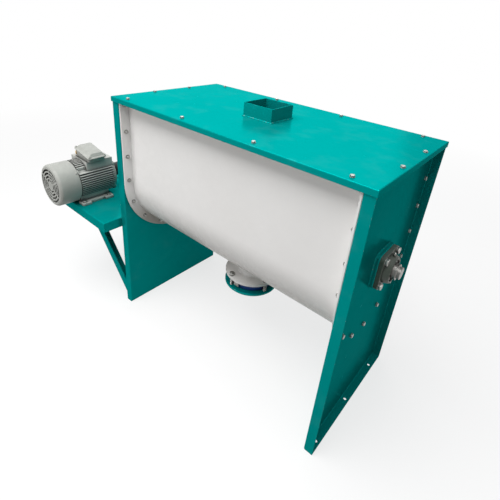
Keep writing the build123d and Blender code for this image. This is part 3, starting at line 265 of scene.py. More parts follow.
def trough_enamel(name, stain=0.6):
    """Off-white semi-gloss enamel over rolled sheet, with rolling waves, flour dust, and a brown stain and
    painted shade that darken its belly.
    """
    tone, smear, cloud, chip = 0.35, 0.03, 0.05, 0.01
    orange_peel, rolling_wave = 0.003, 0.25
    stain_shade_top, stain_shade_full = 0.63, 0.52
    coat = Finish(name, OFF_WHITE, 0.24)
    coat.soft_edges(0.001)
    coat.blend(coat.ramp(coat.noise(tone, 3.0), 0.35, 0.7, 0.0, 0.35), OFF_WHITE_WARM)
    coat.blend(coat.ramp(coat.noise(smear, 8.0, 0.7), 0.62, 0.85, 0.0, 0.1), FLOUR_SMEAR)
    # Brown stain with painted shade, darker towards the bottom of the belly.
    coat.blend(coat.ramp(coat.height(), stain_shade_top, stain_shade_full, 0.0, stain), BELLY_STAIN_AND_SHADE)
    coat.roughen(coat.ramp(coat.noise(cloud, 6.0, 0.65), 0.45, 0.75), 0.4)
    wear = coat.both(coat.edges(0.0015), coat.ramp(coat.noise(chip, 5.0, 0.7), 0.58, 0.68))
    coat.blend(wear, BARE_SHEET)
    coat.bump(coat.noise(orange_peel, 2.0), 0.00003)
    coat.bump(coat.noise(rolling_wave, 1.0, 0.4, (1, 1, 0.6)), 0.0004)
    coat.set(Specular_IOR_Level=0.04)
    return coat.done()


def cast_enamel(name, colour, rough, grain=0.0016, depth=0.00016, open_sky=0.8, deep=0.32):
    """Enamel over sand-cast metal: pebbled relief, dusty tops, painted shade in hollows, chipped edges."""
    tone, pebble, dust, cloud, chip = 0.08, 0.006, 0.03, 0.02, 0.008
    shade_reach = 0.02
    coat = Finish(name, colour, rough)
    coat.soft_edges(0.0015)
    coat.blend(coat.ramp(coat.noise(tone, 5.0, 0.6), 0.35, 0.7, 0.0, 0.6), darker(colour, 0.72))
    coat.blend(coat.ramp(coat.noise(pebble, 4.0, 0.6), 0.55, 0.8, 0.0, 0.35), paler(colour, 1.18, 0.01))
    coat.blend(coat.both(coat.upward(), coat.ramp(coat.noise(dust, 7.0, 0.7), 0.4, 0.75, 0.1, 0.5)), DUST)
    # Painted shade: hollows darken towards a near black of the colour.
    coat.blend(coat.both(coat.hollows(shade_reach, open_sky, deep), 0.9), darker(colour, 0.1))
    wear = coat.both(coat.edges(0.0015), coat.ramp(coat.noise(chip, 5.0, 0.7), 0.54, 0.64))
    coat.blend(wear, STEEL)
    coat.roughen(coat.ramp(coat.noise(cloud, 5.0, 0.6), 0.4, 0.75), min(0.75, rough + 0.2))
    coat.bump(coat.noise(grain, 4.0, 0.6), depth)
    coat.set(Specular_IOR_Level=0.4)
    return coat.done()


def turned_metal(name, colour, rough=0.28, lines=(1, 1, 1), line_size=0.0012, stain=0.3):
    """Bare metal with tool lines across the stretched axis and faint oil stains."""
    oil, cloud = 0.03, 0.012
    metal = Finish(name, colour, rough, 0.9)
    metal.soft_edges(0.0006)
    metal.blend(metal.ramp(metal.noise(oil, 5.0, 0.6), 0.5, 0.8, 0.0, stain), darker(colour, 0.45))
    tool_lines = metal.noise(line_size, 3.0, 0.7, lines)
    metal.blend(metal.ramp(tool_lines, 0.3, 0.7, 0.0, 0.18), darker(colour, 0.7))
    metal.roughen(metal.ramp(metal.noise(cloud, 5.0, 0.6), 0.4, 0.8), min(0.8, rough + 0.22))
    metal.bump(tool_lines, 0.00004)
    return metal.done()


def zinc_plate(name):
    """Zinc-plated fasteners: bright, slightly mottled, dulled in places, with painted shade at their foot.
    """
    spangle, stain, cloud, grain = 0.0022, 0.01, 0.004, 0.0008
    foot_shade_reach = 0.007
    metal = Finish(name, ZINC, 0.32, 1.0)
    metal.soft_edges(0.0007)
    metal.blend(metal.ramp(metal.cells(spangle), 0.1, 0.7, 0.0, 0.25), ZINC_SPANGLE)
    metal.blend(metal.ramp(metal.noise(stain, 5.0, 0.6), 0.52, 0.75, 0.0, 0.35), ZINC_STAIN)
    # Painted shade at the foot of each fastener, where the hollows mask is high.
    metal.blend(metal.both(metal.hollows(foot_shade_reach, 0.9, 0.45), 0.85), FASTENER_FOOT_SHADE)
    metal.roughen(metal.ramp(metal.noise(cloud, 4.0), 0.4, 0.7), 0.5)
    metal.bump(metal.noise(grain, 2.0), 0.00003)
    return metal.done()


def blackened(name):
    """Blackened cast iron with worn, oily patches and bright edges."""
    patch, chip, grain = 0.01, 0.006, 0.0012
    metal = Finish(name, BLACK_IRON, 0.45, 0.6)
    metal.soft_edges(0.001)
    metal.blend(metal.ramp(metal.noise(patch, 6.0, 0.65), 0.45, 0.75, 0.0, 0.5), BLACK_IRON_WORN)
    metal.blend(metal.both(metal.edges(0.0012), metal.ramp(metal.noise(chip, 4.0), 0.48, 0.6)), BARE_SHEET)
    metal.bump(metal.noise(grain, 4.0, 0.6), 0.0001)
    return metal.done()


def moulded(name, colour, rough=0.55):
    """Rubber or plastic with fine grain and a bloom of dust."""
    bloom, cloud, grain = 0.015, 0.01, 0.0007
    rubber = Finish(name, colour, rough)
    rubber.blend(rubber.ramp(rubber.noise(bloom, 6.0, 0.65), 0.45, 0.8, 0.0, 0.4), paler(colour, 1.5, 0.02))
    rubber.roughen(rubber.ramp(rubber.noise(cloud, 4.0), 0.4, 0.7), min(0.9, rough + 0.15))
    rubber.bump(rubber.noise(grain, 3.0), 0.00006)
    return rubber.done()


def winding(name):
    """Varnished copper winding, seen only through the fan grille."""
    wire, along = 0.0012, (1, 0.05, 1)
    copper = Finish(name, VARNISHED_COPPER, 0.4)
    copper.blend(copper.ramp(copper.noise(wire, 2.0, 0.5, along), 0.4, 0.6), BRIGHT_COPPER)
    copper.bump(copper.noise(wire, 2.0, 0.5, along), 0.0002)
    return copper.done()


finishes = {
    "enamel": gloss_enamel("turquoise_enamel", TURQUOISE, TURQUOISE_DEEP),
    "trough": trough_enamel("white_enamel"),
    # The neck goes without the belly's stain and painted shade.
    "neck": trough_enamel("neck_enamel", stain=0.0),
    "bearing": cast_enamel("bearing_enamel", OLIVE, 0.38),
    "cast": cast_enamel("cast_iron", CAST, 0.5),
    "steel": turned_metal("turned_steel", STEEL, line_size=0.0009),
    "stainless": turned_metal("brushed_stainless", STAINLESS, 0.3, (0.04, 1, 1), 0.001, 0.15),
    "zinc": zinc_plate("zinc_plating"),
    "motor_paint": cast_enamel("motor_enamel", MOTOR_GREY, 0.4, 0.0012, 0.00009),
    # The finned casting paints shade in its fin gaps, starting at shallower hollows.
    "motor_casting": cast_enamel("casting_enamel", CASTING_GREY, 0.4, 0.0012, 0.00009, 0.92, 0.5),
    "reducer_paint": cast_enamel("reducer_enamel", TURQUOISE, 0.3, 0.0018, 0.0001),
    "coupling": blackened("blackened_iron"),
    "rubber": moulded("valve_rubber", BLACK_RUBBER),
    "gasket": moulded("gasket_rubber", GREY_RUBBER, 0.6),
    "spider": moulded("spider_rubber", RED_RUBBER, 0.4),
    "brass": turned_metal("gland_brass", BRASS, 0.3),
    "bronze": turned_metal("seal_bronze", BRONZE, 0.35),
    "plastic": moulded("fan_plastic", BLACK_PLASTIC, 0.5),
    "valve_blue": cast_enamel("valve_enamel", VALVE_BLUE, 0.3, 0.0014, 0.00008),
    "winding": winding("winding_copper"),
}

# Each solid takes the finish of its slot; the finned casting and the neck have their own
finish_of = {part["node"]: part["material_slot"] for part in frame["record"]["subparts"]}
finish_of["motor_housing"] = "motor_casting"
finish_of["discharge_neck"] = "neck"
for node, piece in frame["nodes"].items():
    for place in piece.material_slots:
        place.material = finishes[finish_of[node]]


# Modelling with Blender's own tools

def clear():
    bpy.ops.object.select_all(action="DESELECT")


def pick(piece):
    """Select this piece alone and make it active."""
    clear()
    piece.select_set(True)
    bpy.context.view_layer.objects.active = piece


def start(kind, name, place=(0.0, 0.0, 0.0), turn=(0.0, 0.0, 0.0), **size):
    """A primitive at its place, with the place in its mesh."""
    clear()
    getattr(bpy.ops.mesh, "primitive_" + kind + "_add")(location=place, rotation=turn, **size)
    piece = bpy.context.active_object
    piece.name = name
    bpy.ops.object.transform_apply(location=True, rotation=True, scale=True)
    return piece


def block(name, size, place=(0.0, 0.0, 0.0), turn=(0.0, 0.0, 0.0)):
    return start("cube", name, place, turn, size=1.0, scale=size)


def disc(name, radius, bottom, thick, corners=24):
    """Upright cylinder from the given height."""
    centre = (0.0, 0.0, bottom + thick / 2)
    return start("cylinder", name, centre, vertices=corners, radius=radius, depth=thick)


def choose(piece, test):
    """Edit mode with the faces selected that pass a test of centre and normal."""
    pick(piece)
    bpy.ops.object.mode_set(mode="EDIT")
    bpy.ops.mesh.select_mode(type="FACE")
    bpy.ops.mesh.select_all(action="DESELECT")
    bpy.ops.object.mode_set(mode="OBJECT")
    for face in piece.data.polygons:
        face.select = test(face.center, face.normal)
    bpy.ops.object.mode_set(mode="EDIT")


def leave():
    bpy.ops.object.mode_set(mode="OBJECT")


def any_face(centre, normal):
    return True


def facing_up(centre, normal):
    return normal.z > 0.9


def facing_down(centre, normal):
    return normal.z < -0.9


def move_up(rise):
    bpy.ops.transform.translate(value=(0.0, 0.0, rise))


def draw_out(rise, size=1.0, size_y=None):
    """Extrude the chosen face upwards and resize what was drawn out."""
    bpy.ops.mesh.extrude_region_move(TRANSFORM_OT_translate={"value": (0.0, 0.0, rise)})
    bpy.ops.transform.resize(value=(size, size_y or size, 1.0))


def ease_edges(piece, width, steps=2):
    """Small rounds on every sharp edge."""
    pick(piece)
    bpy.ops.object.modifier_add(type="BEVEL")
    rounds = piece.modifiers[-1]
    rounds.width = width
    rounds.segments = steps
    rounds.limit_method = "ANGLE"
    rounds.angle_limit = math.radians(35)
    bpy.ops.object.modifier_apply(modifier=rounds.name)


def round_corners(piece, radius):
    """Round the four upright edges of a flat block."""
    pick(piece)
    bpy.ops.object.mode_set(mode="EDIT")
    bpy.ops.mesh.select_mode(type="EDGE")
    bpy.ops.mesh.select_all(action="DESELECT")
    bpy.ops.object.mode_set(mode="OBJECT")
    for edge in piece.data.edges:
        a, b = (piece.data.vertices[i].co for i in edge.vertices)
        edge.select = abs(a.x - b.x) < 1e-6 and abs(a.y - b.y) < 1e-6
    bpy.ops.object.mode_set(mode="EDIT")
    bpy.ops.mesh.bevel(offset=radius, segments=6, affect="EDGES")
    leave()


def dome(piece, radius):
    """Round the rim of the top face."""
    choose(piece, facing_up)
    bpy.ops.mesh.bevel(offset=radius, segments=4, affect="EDGES")
    leave()


def cut_out(piece, cutter):
    """Cut one piece out of another; the cutter goes."""
    pick(piece)
    bpy.ops.object.modifier_add(type="BOOLEAN")
    cut = piece.modifiers[-1]
    cut.operation = "DIFFERENCE"
    cut.object = cutter
    bpy.ops.object.modifier_apply(modifier=cut.name)
    bpy.data.objects.remove(cutter)


def copies(master, places):
    """The master's mesh copied to each place; the master goes."""
    made = []
    for place in places:
        twin = bpy.data.objects.new(master.name, master.data.copy())
        bpy.context.scene.collection.objects.link(twin)
        twin.data.transform(place)
        made.append(twin)
    bpy.data.objects.remove(master)
    return made


def join(parts, name):
    clear()
    for part in parts:
        part.select_set(True)
    bpy.context.view_layer.objects.active = parts[0]
    if len(parts) > 1:
        bpy.ops.object.join()
    piece = bpy.context.active_object
    piece.name = name
    piece.data.name = name
    return piece


def fit(piece, body, slot, finish=None, instead_of=None, smooth=35):
    """Hand a finished piece its finish, picked by its slot, and its body."""
    pick(piece)
    bpy.ops.object.shade_smooth_by_angle(angle=math.radians(smooth))
    piece.data.materials.clear()
    piece.data.materials.append(finishes[finish or slot])
    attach(piece, body)
    if instead_of:
        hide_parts(*instead_of)


def solids_of(node):
    """Lowest and highest corners of each separate solid in a node."""
    copy = frame["nodes"][node].copy()
    copy.data = copy.data.copy()
    copy.parent = None
    bpy.context.scene.collection.objects.link(copy)
    choose(copy, any_face)
    bpy.ops.mesh.remove_doubles(threshold=0.00001)
    bpy.ops.mesh.separate(type="LOOSE")
    leave()
    loose = list(bpy.context.selected_objects)
    corners = []
    for part in loose:
        spots = [vertex.co for vertex in part.data.vertices]
        low = Vector([min(spot[i] for spot in spots) for i in range(3)])
        high = Vector([max(spot[i] for spot in spots) for i in range(3)])
        corners.append((low, high))
    for part in loose:
        bpy.data.objects.remove(part)
    return corners


def middle_of(corners):
    return (corners[0] + corners[1]) / 2


def seated(point, direction, spin=0.0):
    """Matrix that stands a piece on a point, its Z along the direction; spin turns it on its seat, so that
    the flats of neighbours don't line up."""
    turn = Vector(direction).to_track_quat("Z", "Y").to_matrix().to_4x4()
    return Matrix.Translation(point) @ turn @ Matrix.Rotation(spin, 4, "Z")


def end_side(x):
    """1 at the free end of the trough, -1 at its drive end."""
    return 1 if x > middle_of(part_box("trough_shell")).x else -1


# Fasteners with washers, turned-off corners and threads

Hexagon = namedtuple("Hexagon", "flats head radius")
M8 = Hexagon(0.013, 0.0053, 0.004)
M10 = Hexagon(0.016, 0.0064, 0.005)
M12 = Hexagon(0.018, 0.0075, 0.006)
M16 = Hexagon(0.024, 0.010, 0.008)
WASHER = 0.0016               # thickness
WASHER_SIZE = 0.62            # radius, as a share of the flats
PITCH = 0.002                 # of the threads that show
THREAD_ROOT = 0.87            # as a share of the radius
THREAD_END = 0.84             # the same, at the chamfered end


def hexagon_head(flats, height, lift=0.0):
    """Hexagon with its corners turned off and a shallow dish, standing on the given height."""
    crown, rim, dish, sink = height * 0.14, flats * 0.07, flats * 0.16, 0.6
    head = disc("head", flats / math.sqrt(3.0), lift, height - crown, corners=6)
    choose(head, facing_up)
    bpy.ops.mesh.inset(thickness=rim)
    move_up(crown)
    bpy.ops.mesh.inset(thickness=dish)
    move_up(-crown * sink)
    leave()
    ease_edges(head, 0.00035)
    return head


def washer(radius):
    ring = disc("washer", radius, 0.0, WASHER, corners=28)
    ease_edges(ring, 0.0004)
    return ring


def thread(radius, low, high):
    """Rod with a turned thread up to a chamfered end."""
    rod = disc("thread", radius, low, PITCH / 2, corners=20)
    choose(rod, facing_up)
    for turn in range(max(1, int((high - low) / PITCH) - 1)):
        draw_out(PITCH / 2, THREAD_ROOT)
        draw_out(PITCH / 2, 1.0 / THREAD_ROOT)
    draw_out(PITCH / 2, THREAD_END)
    leave()
    return rod


def bolt_master(size, grip):
    """Bolt with its washer; the seat is at z = 0 and the shank below it."""
    shank = thread(size.radius, -WASHER, grip)
    shank.data.transform(Matrix.Rotation(math.pi, 4, "X"))
    head = hexagon_head(size.flats, size.head, WASHER)
    return join([washer(size.flats * WASHER_SIZE), head, shank], "bolt")


def nut_master(size, height, tail):
    """Nut with its washer, and the end of its bolt."""
    stub = thread(size.radius, height, height + WASHER + tail)
    nut = hexagon_head(size.flats, height - WASHER, WASHER)
    return join([washer(size.flats * WASHER_SIZE), nut, stub], "nut")


def cover_screws():
    """Screws round the cover."""
    head = M8.head
    corners = solids_of("cover_bolts")
    places = []
    for i, (low, high) in enumerate(corners):
        middle = (low + high) / 2
        places.append(seated((middle.x, middle.y, high.z - head), (0, 0, 1), 0.7 * i))
    low, high = corners[0]
    screws = join(copies(bolt_master(M8, high.z - head - low.z), places), "cover_screws")
    fit(screws, "frame", "zinc", instead_of=["cover_bolts"])


def end_frame_bolts():
    """Bolts outside the end frames, and their nuts on the trough's flanges."""
    shortest_bolt, nut_height, tail, hidden_end = 0.02, 0.008, 0.003, 0.012
    head = M10.head
    bolts, nuts, grips = [], [], []
    for i, (low, high) in enumerate(solids_of("end_fasteners")):
        middle = (low + high) / 2
        out = end_side(middle.x)
        length = high.x - low.x
        outer = high.x if out > 0 else low.x
        if length > shortest_bolt:
            bolts.append(seated((outer - out * head, middle.y, middle.z), (out, 0, 0), 0.9 * i))
            grips.append(length - head)
        else:
            nuts.append(seated((outer, middle.y, middle.z), (-out, 0, 0), 1.3 * i))
    made = copies(bolt_master(M10, grips[0] - hidden_end), bolts)
    made += copies(nut_master(M10, nut_height, tail), nuts)
    fit(join(made, "end_frame_bolts"), "frame", "zinc", instead_of=["end_fasteners"])


def bearing_screws():
    """Four large bolts in each flange bearing."""
    head, grip = M16.head, 0.028
    places = []
    for i, (low, high) in enumerate(solids_of("bearing_bolts")):
        middle = (low + high) / 2
        out = end_side(middle.x)
        seat = high.x - head if out > 0 else low.x + head
        places.append(seated((seat, middle.y, middle.z), (out, 0, 0), 0.5 * i))
    screws = join(copies(bolt_master(M16, grip), places), "bearing_screws")
    fit(screws, "frame", "zinc", instead_of=["bearing_bolts"])


def drive_screws():
    """Bolts and nuts of the motor feet, riser and reducer, and the screws of the motor's shield."""
    shortest_bolt, nut_height, nut_washer, shield_grip = 0.02, 0.0085, 0.0112, 0.008
    screws, nuts, shield = [], [], []
    for i, (low, high) in enumerate(solids_of("drive_fasteners")):
        middle = (low + high) / 2
        tall, across = high.z - low.z, high.y - low.y
        if across > tall:
            shield.append(seated((middle.x, high.y - M8.head, middle.z), (0, 1, 0), 0.8 * i))
        elif tall > shortest_bolt:
            seat = high.z - M12.head
            screws.append((seated((middle.x, middle.y, seat), (0, 0, 1), 0.7 * i), round(seat - low.z, 4)))
        else:
            nuts.append(seated((middle.x, middle.y, high.z), (0, 0, -1), 1.1 * i))
    made = []
    for grip in sorted({length for place, length in screws}):
        made += copies(bolt_master(M12, grip), [place for place, length in screws if length == grip])
    made += copies(join([washer(nut_washer), hexagon_head(M12.flats, nut_height, WASHER)], "nut"), nuts)
    made += copies(bolt_master(M8, shield_grip), shield)
    fit(join(made, "drive_screws"), "frame", "zinc", instead_of=["drive_fasteners"])


def flange_studs():
    """Threaded studs between the valve's flanges, with nuts on the neck's flange."""
    shortest_stud, nut_washer = 0.05, 0.0134
    studs, nuts, lengths, heights = [], [], [], []
    for i, (low, high) in enumerate(solids_of("valve_studs")):
        middle = (low + high) / 2
        if high.z - low.z > shortest_stud:
            studs.append(Matrix.Translation((middle.x, middle.y, low.z)))
            lengths.append(high.z - low.z)
        else:
            nuts.append(seated((middle.x, middle.y, low.z), (0, 0, 1), 0.8 * i))
            heights.append(high.z - low.z)
    nut = join([washer(nut_washer), hexagon_head(M16.flats, heights[-1] - WASHER, WASHER)], "nut")
    made = copies(thread(M16.radius, 0.0, lengths[-1]), studs) + copies(nut, nuts)
    fit(join(made, "flange_studs"), "frame", "zinc", instead_of=["valve_studs"])


# Weld beads: a row of overlapping ripples

RIPPLE_LEAN = math.radians(24)


def bead(path, across, height, name, slot, finish=None):
    """Ripples along a path of (point, along, outward)."""
    ripple = start("uv_sphere", "ripple", segments=10, ring_count=6, radius=1.0)
    lean = Matrix.Rotation(RIPPLE_LEAN, 4, "X")
    size = Matrix.Diagonal((across, height * 1.25, height, 1.0))
    places = []
    for point, along, outward in path:
        y = Vector(along).normalized()
        z = Vector(outward).normalized()
        x = y.cross(z).normalized()
        turn = Matrix((x, y, z)).transposed().to_4x4()
        places.append(Matrix.Translation(point) @ turn @ lean @ size)
    fit(join(copies(ripple, places), name), "frame", slot, finish, smooth=60)


def straight(a, b, outward, step):
    """Path points from a to b."""
    a, b = Vector(a), Vector(b)
    count = max(2, round((b - a).length / step))
    return [(a.lerp(b, i / count), b - a, outward) for i in range(count)]


def collar_weld():
    """Round the foot of the inlet collar, on the cover."""
    low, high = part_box("inlet_collar")
    sheet_fold, step, off = 0.004, 0.0034, 0.0014
    x0, x1, y0, y1 = low.x + sheet_fold, high.x - sheet_fold, low.y + sheet_fold, high.y - sheet_fold
    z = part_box("cover")[1].z + off
    path = straight((x0, y0 - off, z), (x1, y0 - off, z), (0, -1, 1), step)
    path += straight((x1 + off, y0, z), (x1 + off, y1, z), (1, 0, 1), step)
    path += straight((x1, y1 + off, z), (x0, y1 + off, z), (0, 1, 1), step)
    path += straight((x0 - off, y1, z), (x0 - off, y0, z), (-1, 0, 1), step)
    bead(path, 0.0034, 0.0027, "collar_weld", "enamel")


def neck_welds():
    """Round the discharge neck, at the trough and on its flange."""
    neck_radius, trough_radius, flange_thick, count = 0.070, 0.278, 0.012, 120
    centre = middle_of(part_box("discharge_neck"))
    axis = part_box("trough_shell")[0].z + trough_radius
    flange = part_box("valve_body")[1].z + flange_thick + 0.001
    upper, lower = [], []
    for i in range(count):
        a = 2 * math.pi * i / count
        x, y = math.cos(a), math.sin(a)
        drop = math.sqrt(trough_radius ** 2 - (neck_radius * y) ** 2)
        spot = (centre.x + neck_radius * x, centre.y + neck_radius * y)
        upper.append(((*spot, axis - drop), (-y, x, 0), (x, y, -0.9)))
        lower.append(((*spot, flange), (-y, x, 0), (x, y, 1)))
    bead(upper, 0.0042, 0.0032, "neck_weld", "trough")
    bead(lower, 0.0038, 0.003, "neck_flange_weld", "trough", "neck")


def seat_welds():
    """Round the bearing seats, on the end frames."""
    low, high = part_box("bearing_seats")
    corner, step, seat_depth, off_seat, off_web = 0.024, 0.0036, 0.016, 0.0008, 0.001
    y0, y1, z0, z1 = low.y + corner, high.y - corner, low.z + corner, high.z - corner
    radius = corner + off_seat
    steps = max(4, round(corner * math.pi / 2 / step))
    for name, face, out in (("free", high.x - seat_depth, 1), ("drive", low.x + seat_depth, -1)):
        x = face + out * off_web
        path = []
        for y, z, first in ((y1, z1, 0), (y0, z1, 90), (y0, z0, 180), (y1, z0, 270)):
            for i in range(steps):
                a = math.radians(first + 90 * i / steps)
                dy, dz = math.cos(a), math.sin(a)
                path.append(((x, y + radius * dy, z + radius * dz), (0, -dz, dy), (out, dy, dz)))
        for z, up in ((high.z + off_seat, 1), (low.z - off_seat, -1)):
            path += straight((x, y0, z), (x, y1, z), (out, 0, up), step)
        for y, side in ((low.y - off_seat, -1), (high.y + off_seat, 1)):
            path += straight((x, y, z0), (x, y, z1), (out, side, 0), step)
        bead(path, 0.0032, 0.0026, "seat_weld_" + name, "enamel")


# Motor details

LID_TILT = math.radians(10.0)
LID_PLAY = 0.001              # keeps the tilted lid inside its solid's length
LID_SCREW_IN = 0.011          # from the lid's edges
LID_SIDES = [(sx, sy) for sx in (-1, 1) for sy in (-1, 1)]


def pan_head(radius, height):
    """Cross-slotted pan head screw standing on z = 0."""
    slot = (radius * 1.2, radius * 0.24, height * 0.7)
    head = disc("pan_head", radius, 0.0, height, corners=20)
    dome(head, height * 0.45)
    for angle in (0.0, math.pi / 2):
        cut_out(head, block("slot", slot, (0.0, 0.0, height), (0.0, 0.0, angle)))
    return head


def lid_size():
    """Length along the tilt, and width."""
    low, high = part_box("terminal_box_lid")
    return (high.x - low.x) / math.cos(LID_TILT) - LID_PLAY, high.y - low.y


def lid_place():
    """Matrix from the joint of box and lid; it falls by the tilt from the box's high edge."""
    low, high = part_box("terminal_box")
    middle = middle_of(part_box("terminal_box_lid"))
    joint = high.z - (middle.x - low.x) * math.tan(LID_TILT)
    return Matrix.Translation((middle.x, middle.y, joint)) @ Matrix.Rotation(LID_TILT, 4, "Y")


def lid_screw_places(long, wide):
    return [(sx * (long / 2 - LID_SCREW_IN), sy * (wide / 2 - LID_SCREW_IN)) for sx, sy in LID_SIDES]


def terminal_lid():
    """Die-cast lid: round-cornered flange, sloping shoulders, a raised panel and four screw bosses."""
    flange, corner, ledge, lip, panel = 0.005, 0.016, 0.0045, 0.002, 0.0165
    boss_radius, boss_height = 0.0068, 0.011
    long, wide = lid_size()
    lid = block("lid", (long, wide, flange), (0.0, 0.0, flange / 2))
    round_corners(lid, corner)
    choose(lid, facing_up)
    bpy.ops.mesh.inset(thickness=ledge)
    move_up(lip)
    bpy.ops.mesh.inset(thickness=ledge)
    draw_out(panel, 0.84, 0.76)
    leave()
    ease_edges(lid, 0.0018, 3)
    boss = disc("boss", boss_radius, 0.0, boss_height)
    ease_edges(boss, 0.001)
    spots = lid_screw_places(long, wide)
    bosses = copies(boss, [Matrix.Translation((x, y, 0.0)) for x, y in spots])
    lid = join([lid] + bosses, "terminal_lid")
    lid.data.transform(lid_place())
    fit(lid, "frame", "motor_paint", instead_of=["terminal_box_lid"])


def terminal_lid_screws():
    long, wide = lid_size()
    boss_top, head_radius, head_height = 0.0108, 0.0042, 0.0028
    places = []
    for (x, y), (sx, sy) in zip(lid_screw_places(long, wide), LID_SIDES):
        slot_turn = Matrix.Rotation(0.4 + sx + 2 * sy, 4, "Z")
        places.append(lid_place() @ Matrix.Translation((x, y, boss_top)) @ slot_turn)
    screws = copies(pan_head(head_radius, head_height), places)
    fit(join(screws, "terminal_lid_screws"), "frame", "zinc")


def terminal_lid_seal():
    long, wide = lid_size()
    seal = block("seal", (long - 0.004, wide - 0.0045, 0.0022))
    round_corners(seal, 0.008)
    seal.name = "terminal_lid_seal"
    seal.data.transform(lid_place())
    fit(seal, "frame", "rubber")


def terminal_case():
    """Cast box under the lid, drawn in towards its foot and cut level on the housing."""
    deep, corner, narrower, joint_gap = 0.075, 0.012, 0.011, 0.0005
    long, wide = lid_size()
    size = (long - narrower, wide - narrower, deep)
    case = block("case", size, (0.0, 0.0, -deep / 2 - joint_gap))
    round_corners(case, corner)
    choose(case, facing_down)
    bpy.ops.transform.resize(value=(0.82, 0.8, 1.0))
    leave()
    case.data.transform(lid_place())
    choose(case, any_face)
    foot = (0.0, 0.0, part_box("terminal_box")[0].z)
    bpy.ops.mesh.bisect(plane_co=foot, plane_no=(0.0, 0.0, 1.0), use_fill=True, clear_inner=True)
    leave()
    ease_edges(case, 0.0012)
    case.name = "terminal_case"
    fit(case, "frame", "motor_paint", instead_of=["terminal_box"])


def cowl_screws():
    """Four screws round the open end of the fan cowl."""
    from_edge, sunk, head_radius, head_height = 0.006, 0.0003, 0.0045, 0.003
    low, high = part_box("fan_cowl")
    middle = (low + high) / 2
    radius = (high.x - low.x) / 2 - sunk
    places = []
    for angle in (40, 140, 220, 320):
        a = math.radians(angle)
        out = Vector((math.cos(a), 0.0, math.sin(a)))
        spot = Vector((middle.x, high.y - from_edge, middle.z)) + out * radius
        places.append(seated(spot, out, angle))
    screws = copies(pan_head(head_radius, head_height), places)
    fit(join(screws, "cowl_screws"), "frame", "zinc")


def grease_nipples():
    """Ball-ended nipple on top of each bearing."""
    off_seat, over_shaft = 0.026, 0.062
    foot_radius, foot_height, shoulder = 0.0052, 0.004, 0.0018
    neck_and_ball = ((0.0025, 0.9), (0.001, 1.45), (0.0018, 1.05), (0.0016, 0.6))
    nipple = disc("nipple", foot_radius, 0.0, foot_height, corners=6)
    choose(nipple, facing_up)
    bpy.ops.mesh.inset(thickness=shoulder)
    for rise, size in neck_and_ball:
        draw_out(rise, size)
    leave()
    ease_edges(nipple, 0.0003)
    places = []
    for housing, out in (("bearing_housing_free", 1), ("bearing_housing_drive", -1)):
        low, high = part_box(housing)
        middle = (low + high) / 2
        face = low.x if out > 0 else high.x
        places.append(Matrix.Translation((face + out * off_seat, middle.y, middle.z + over_shaft)))
    fit(join(copies(nipple, places), "grease_nipples"), "frame", "zinc")


def gland_place():
    """Matrix from the face that the gland's hexagon stands on."""
    low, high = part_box("cable_gland")
    middle = (low + high) / 2
    return seated((low.x + 0.014, middle.y, middle.z), (-1, 0, 0))


def cable_entry():
    """Brass cable gland: hexagon body and dome nut with a hollow mouth, on a stem."""
    flats, body_height = 0.0278, 0.0075
    body = hexagon_head(flats, body_height)
    nut = disc("dome_nut", 0.0128, body_height, 0.004)
    choose(nut, facing_up)
    draw_out(0.0022, 0.78)
    bpy.ops.mesh.inset(thickness=0.0035)
    move_up(-0.004)
    leave()
    ease_edges(nut, 0.0005)
    stem = disc("stem", 0.0118, -0.0115, 0.012)
    gland = join([body, nut, stem], "cable_entry")
    gland.data.transform(gland_place())
    fit(gland, "frame", "brass", instead_of=["cable_gland"])


def cable_seal():
    """Rubber ring in the mouth of the gland."""
    seal = start("torus", "cable_seal", (0.0, 0.0, 0.0088), major_radius=0.0052, minor_radius=0.0016,
                 major_segments=24, minor_segments=8)
    seal.data.transform(gland_place())
    fit(seal, "frame", "rubber")


def vent_plug():
    """Breather plug on the reducer's top boss."""
    low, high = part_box("reducer_housing")
    middle = (low + high) / 2
    flats, head = 0.017, 0.007
    cap = disc("vent_cap", 0.0075, head, 0.005)
    dome(cap, 0.0018)
    plug = join([hexagon_head(flats, head), cap], "vent_plug")
    plug.data.transform(Matrix.Translation((middle.x, middle.y, high.z)))
    fit(plug, "frame", "brass")


cover_screws()
end_frame_bolts()
bearing_screws()
drive_screws()
flange_studs()
collar_weld()
neck_welds()
seat_welds()
terminal_lid()
terminal_lid_screws()
terminal_lid_seal()
terminal_case()
cowl_screws()
grease_nipples()
cable_entry()
cable_seal()
vent_plug()


# Floor, backdrop and light

def seen_rays(tree):
    """1 for the rays that show the background: from the camera, off gloss and through glass."""
    rays = tree.nodes.new("ShaderNodeLightPath")
    found = rays.outputs["Is Camera Ray"]
    for kind in ("Is Glossy Ray", "Is Transmission Ray"):
        either = tree.nodes.new("ShaderNodeMath")
        either.operation = "MAXIMUM"
        tree.links.new(found, either.inputs[0])
        tree.links.new(rays.outputs[kind], either.inputs[1])
        found = either.outputs[0]
    return found


def mixed(tree, factor, first, second):
    """Mix of two shaders."""
    mix = tree.nodes.new("ShaderNodeMixShader")
    tree.links.new(factor, mix.inputs[0])
    tree.links.new(first, mix.inputs[1])
    tree.links.new(second, mix.inputs[2])
    return mix.outputs[0]


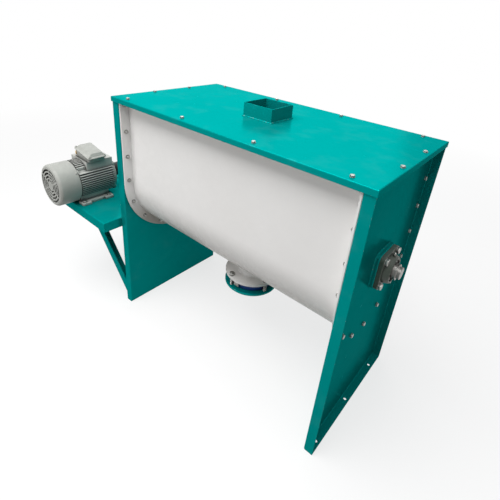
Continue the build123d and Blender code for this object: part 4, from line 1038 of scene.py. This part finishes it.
def studio_floor():
    """Wide pale floor that keeps the object's shadow and throws a plain bounce back on the object."""
    floor = start("plane", "studio_floor", size=120.0)
    paint = Finish("studio_floor", FLOOR_BOUNCE, 0.9)
    paint.set(Specular_IOR_Level=0.0)
    pale = paint.node("ShaderNodeBsdfDiffuse", Color=(*FLOOR_PALE, 1.0))
    glow = paint.node("ShaderNodeEmission", Color=(*WHITE, 1.0), Strength=1.0)
    away = paint.node("ShaderNodeVectorMath", Vector=paint.place)
    away.operation = "LENGTH"
    seen = seen_rays(paint.tree)
    share = paint.both(seen, paint.ramp(away.outputs["Value"], GLOW_NEAR, GLOW_FAR, FLOOR_GLOW, 1.0))
    bounce = mixed(paint.tree, seen, paint.shader.outputs[0], pale.outputs[0])
    surface = mixed(paint.tree, share, bounce, glow.outputs[0])
    paint.tree.links.new(surface, paint.tree.nodes["Material Output"].inputs["Surface"])
    floor.data.materials.append(paint.done())


def studio_world():
    """Plain daylight; the background itself is white to the eye and in reflections."""
    world = bpy.data.worlds.new("studio_world")
    bpy.context.scene.world = world
    world.use_nodes = True
    tree = world.node_tree
    tree.nodes.clear()
    shades = []
    for colour, strength in ((DAYLIGHT, WORLD_LIGHT), (WHITE, 1.0)):
        shade = tree.nodes.new("ShaderNodeBackground")
        shade.inputs["Color"].default_value = (*colour, 1.0)
        shade.inputs["Strength"].default_value = strength
        shades.append(shade.outputs[0])
    out = tree.nodes.new("ShaderNodeOutputWorld")
    tree.links.new(mixed(tree, seen_rays(tree), *shades), out.inputs["Surface"])


def soft_box(name, place, target, size, watts, tint=WHITE):
    data = bpy.data.lights.new(name, "AREA")
    data.shape = "RECTANGLE"
    data.size, data.size_y = size
    data.energy = watts
    data.color = tint
    lamp = bpy.data.objects.new(name, data)
    bpy.context.scene.collection.objects.link(lamp)
    aim = (Vector(target) - Vector(place)).to_track_quat("-Z", "Y")
    lamp.matrix_world = Matrix.Translation(place) @ aim.to_matrix().to_4x4()


def photo_camera():
    data = bpy.data.cameras.new("photo_camera")
    data.sensor_width = 36.0
    data.lens = LENS
    data.shift_x, data.shift_y = SHIFT
    data.clip_end = 200.0
    camera = bpy.data.objects.new("photo_camera", data)
    bpy.context.scene.collection.objects.link(camera)
    turn = Matrix((RIGHT, -DOWN, -FORWARD)).transposed()
    camera.matrix_world = Matrix.Translation(EYE) @ turn.to_4x4()
    bpy.context.scene.camera = camera


studio_floor()
studio_world()
soft_box("overhead_panel", place=(-0.2, -1.2, 4.0), target=(0.0, 0.0, 1.0), size=(3.6, 3.0), watts=190.0)
soft_box("rear_panel", place=(-3.0, 4.2, 3.2), target=(0.0, 0.0, 0.9), size=(5.4, 3.2), watts=85.0)
soft_box("front_panel", place=(-1.6, -3.8, 1.7), target=(0.0, 0.0, 0.7), size=(3.0, 2.4), watts=40.0,
         tint=(1.0, 0.985, 0.97))
photo_camera()
bpy.context.scene.view_settings.view_transform = "Standard"
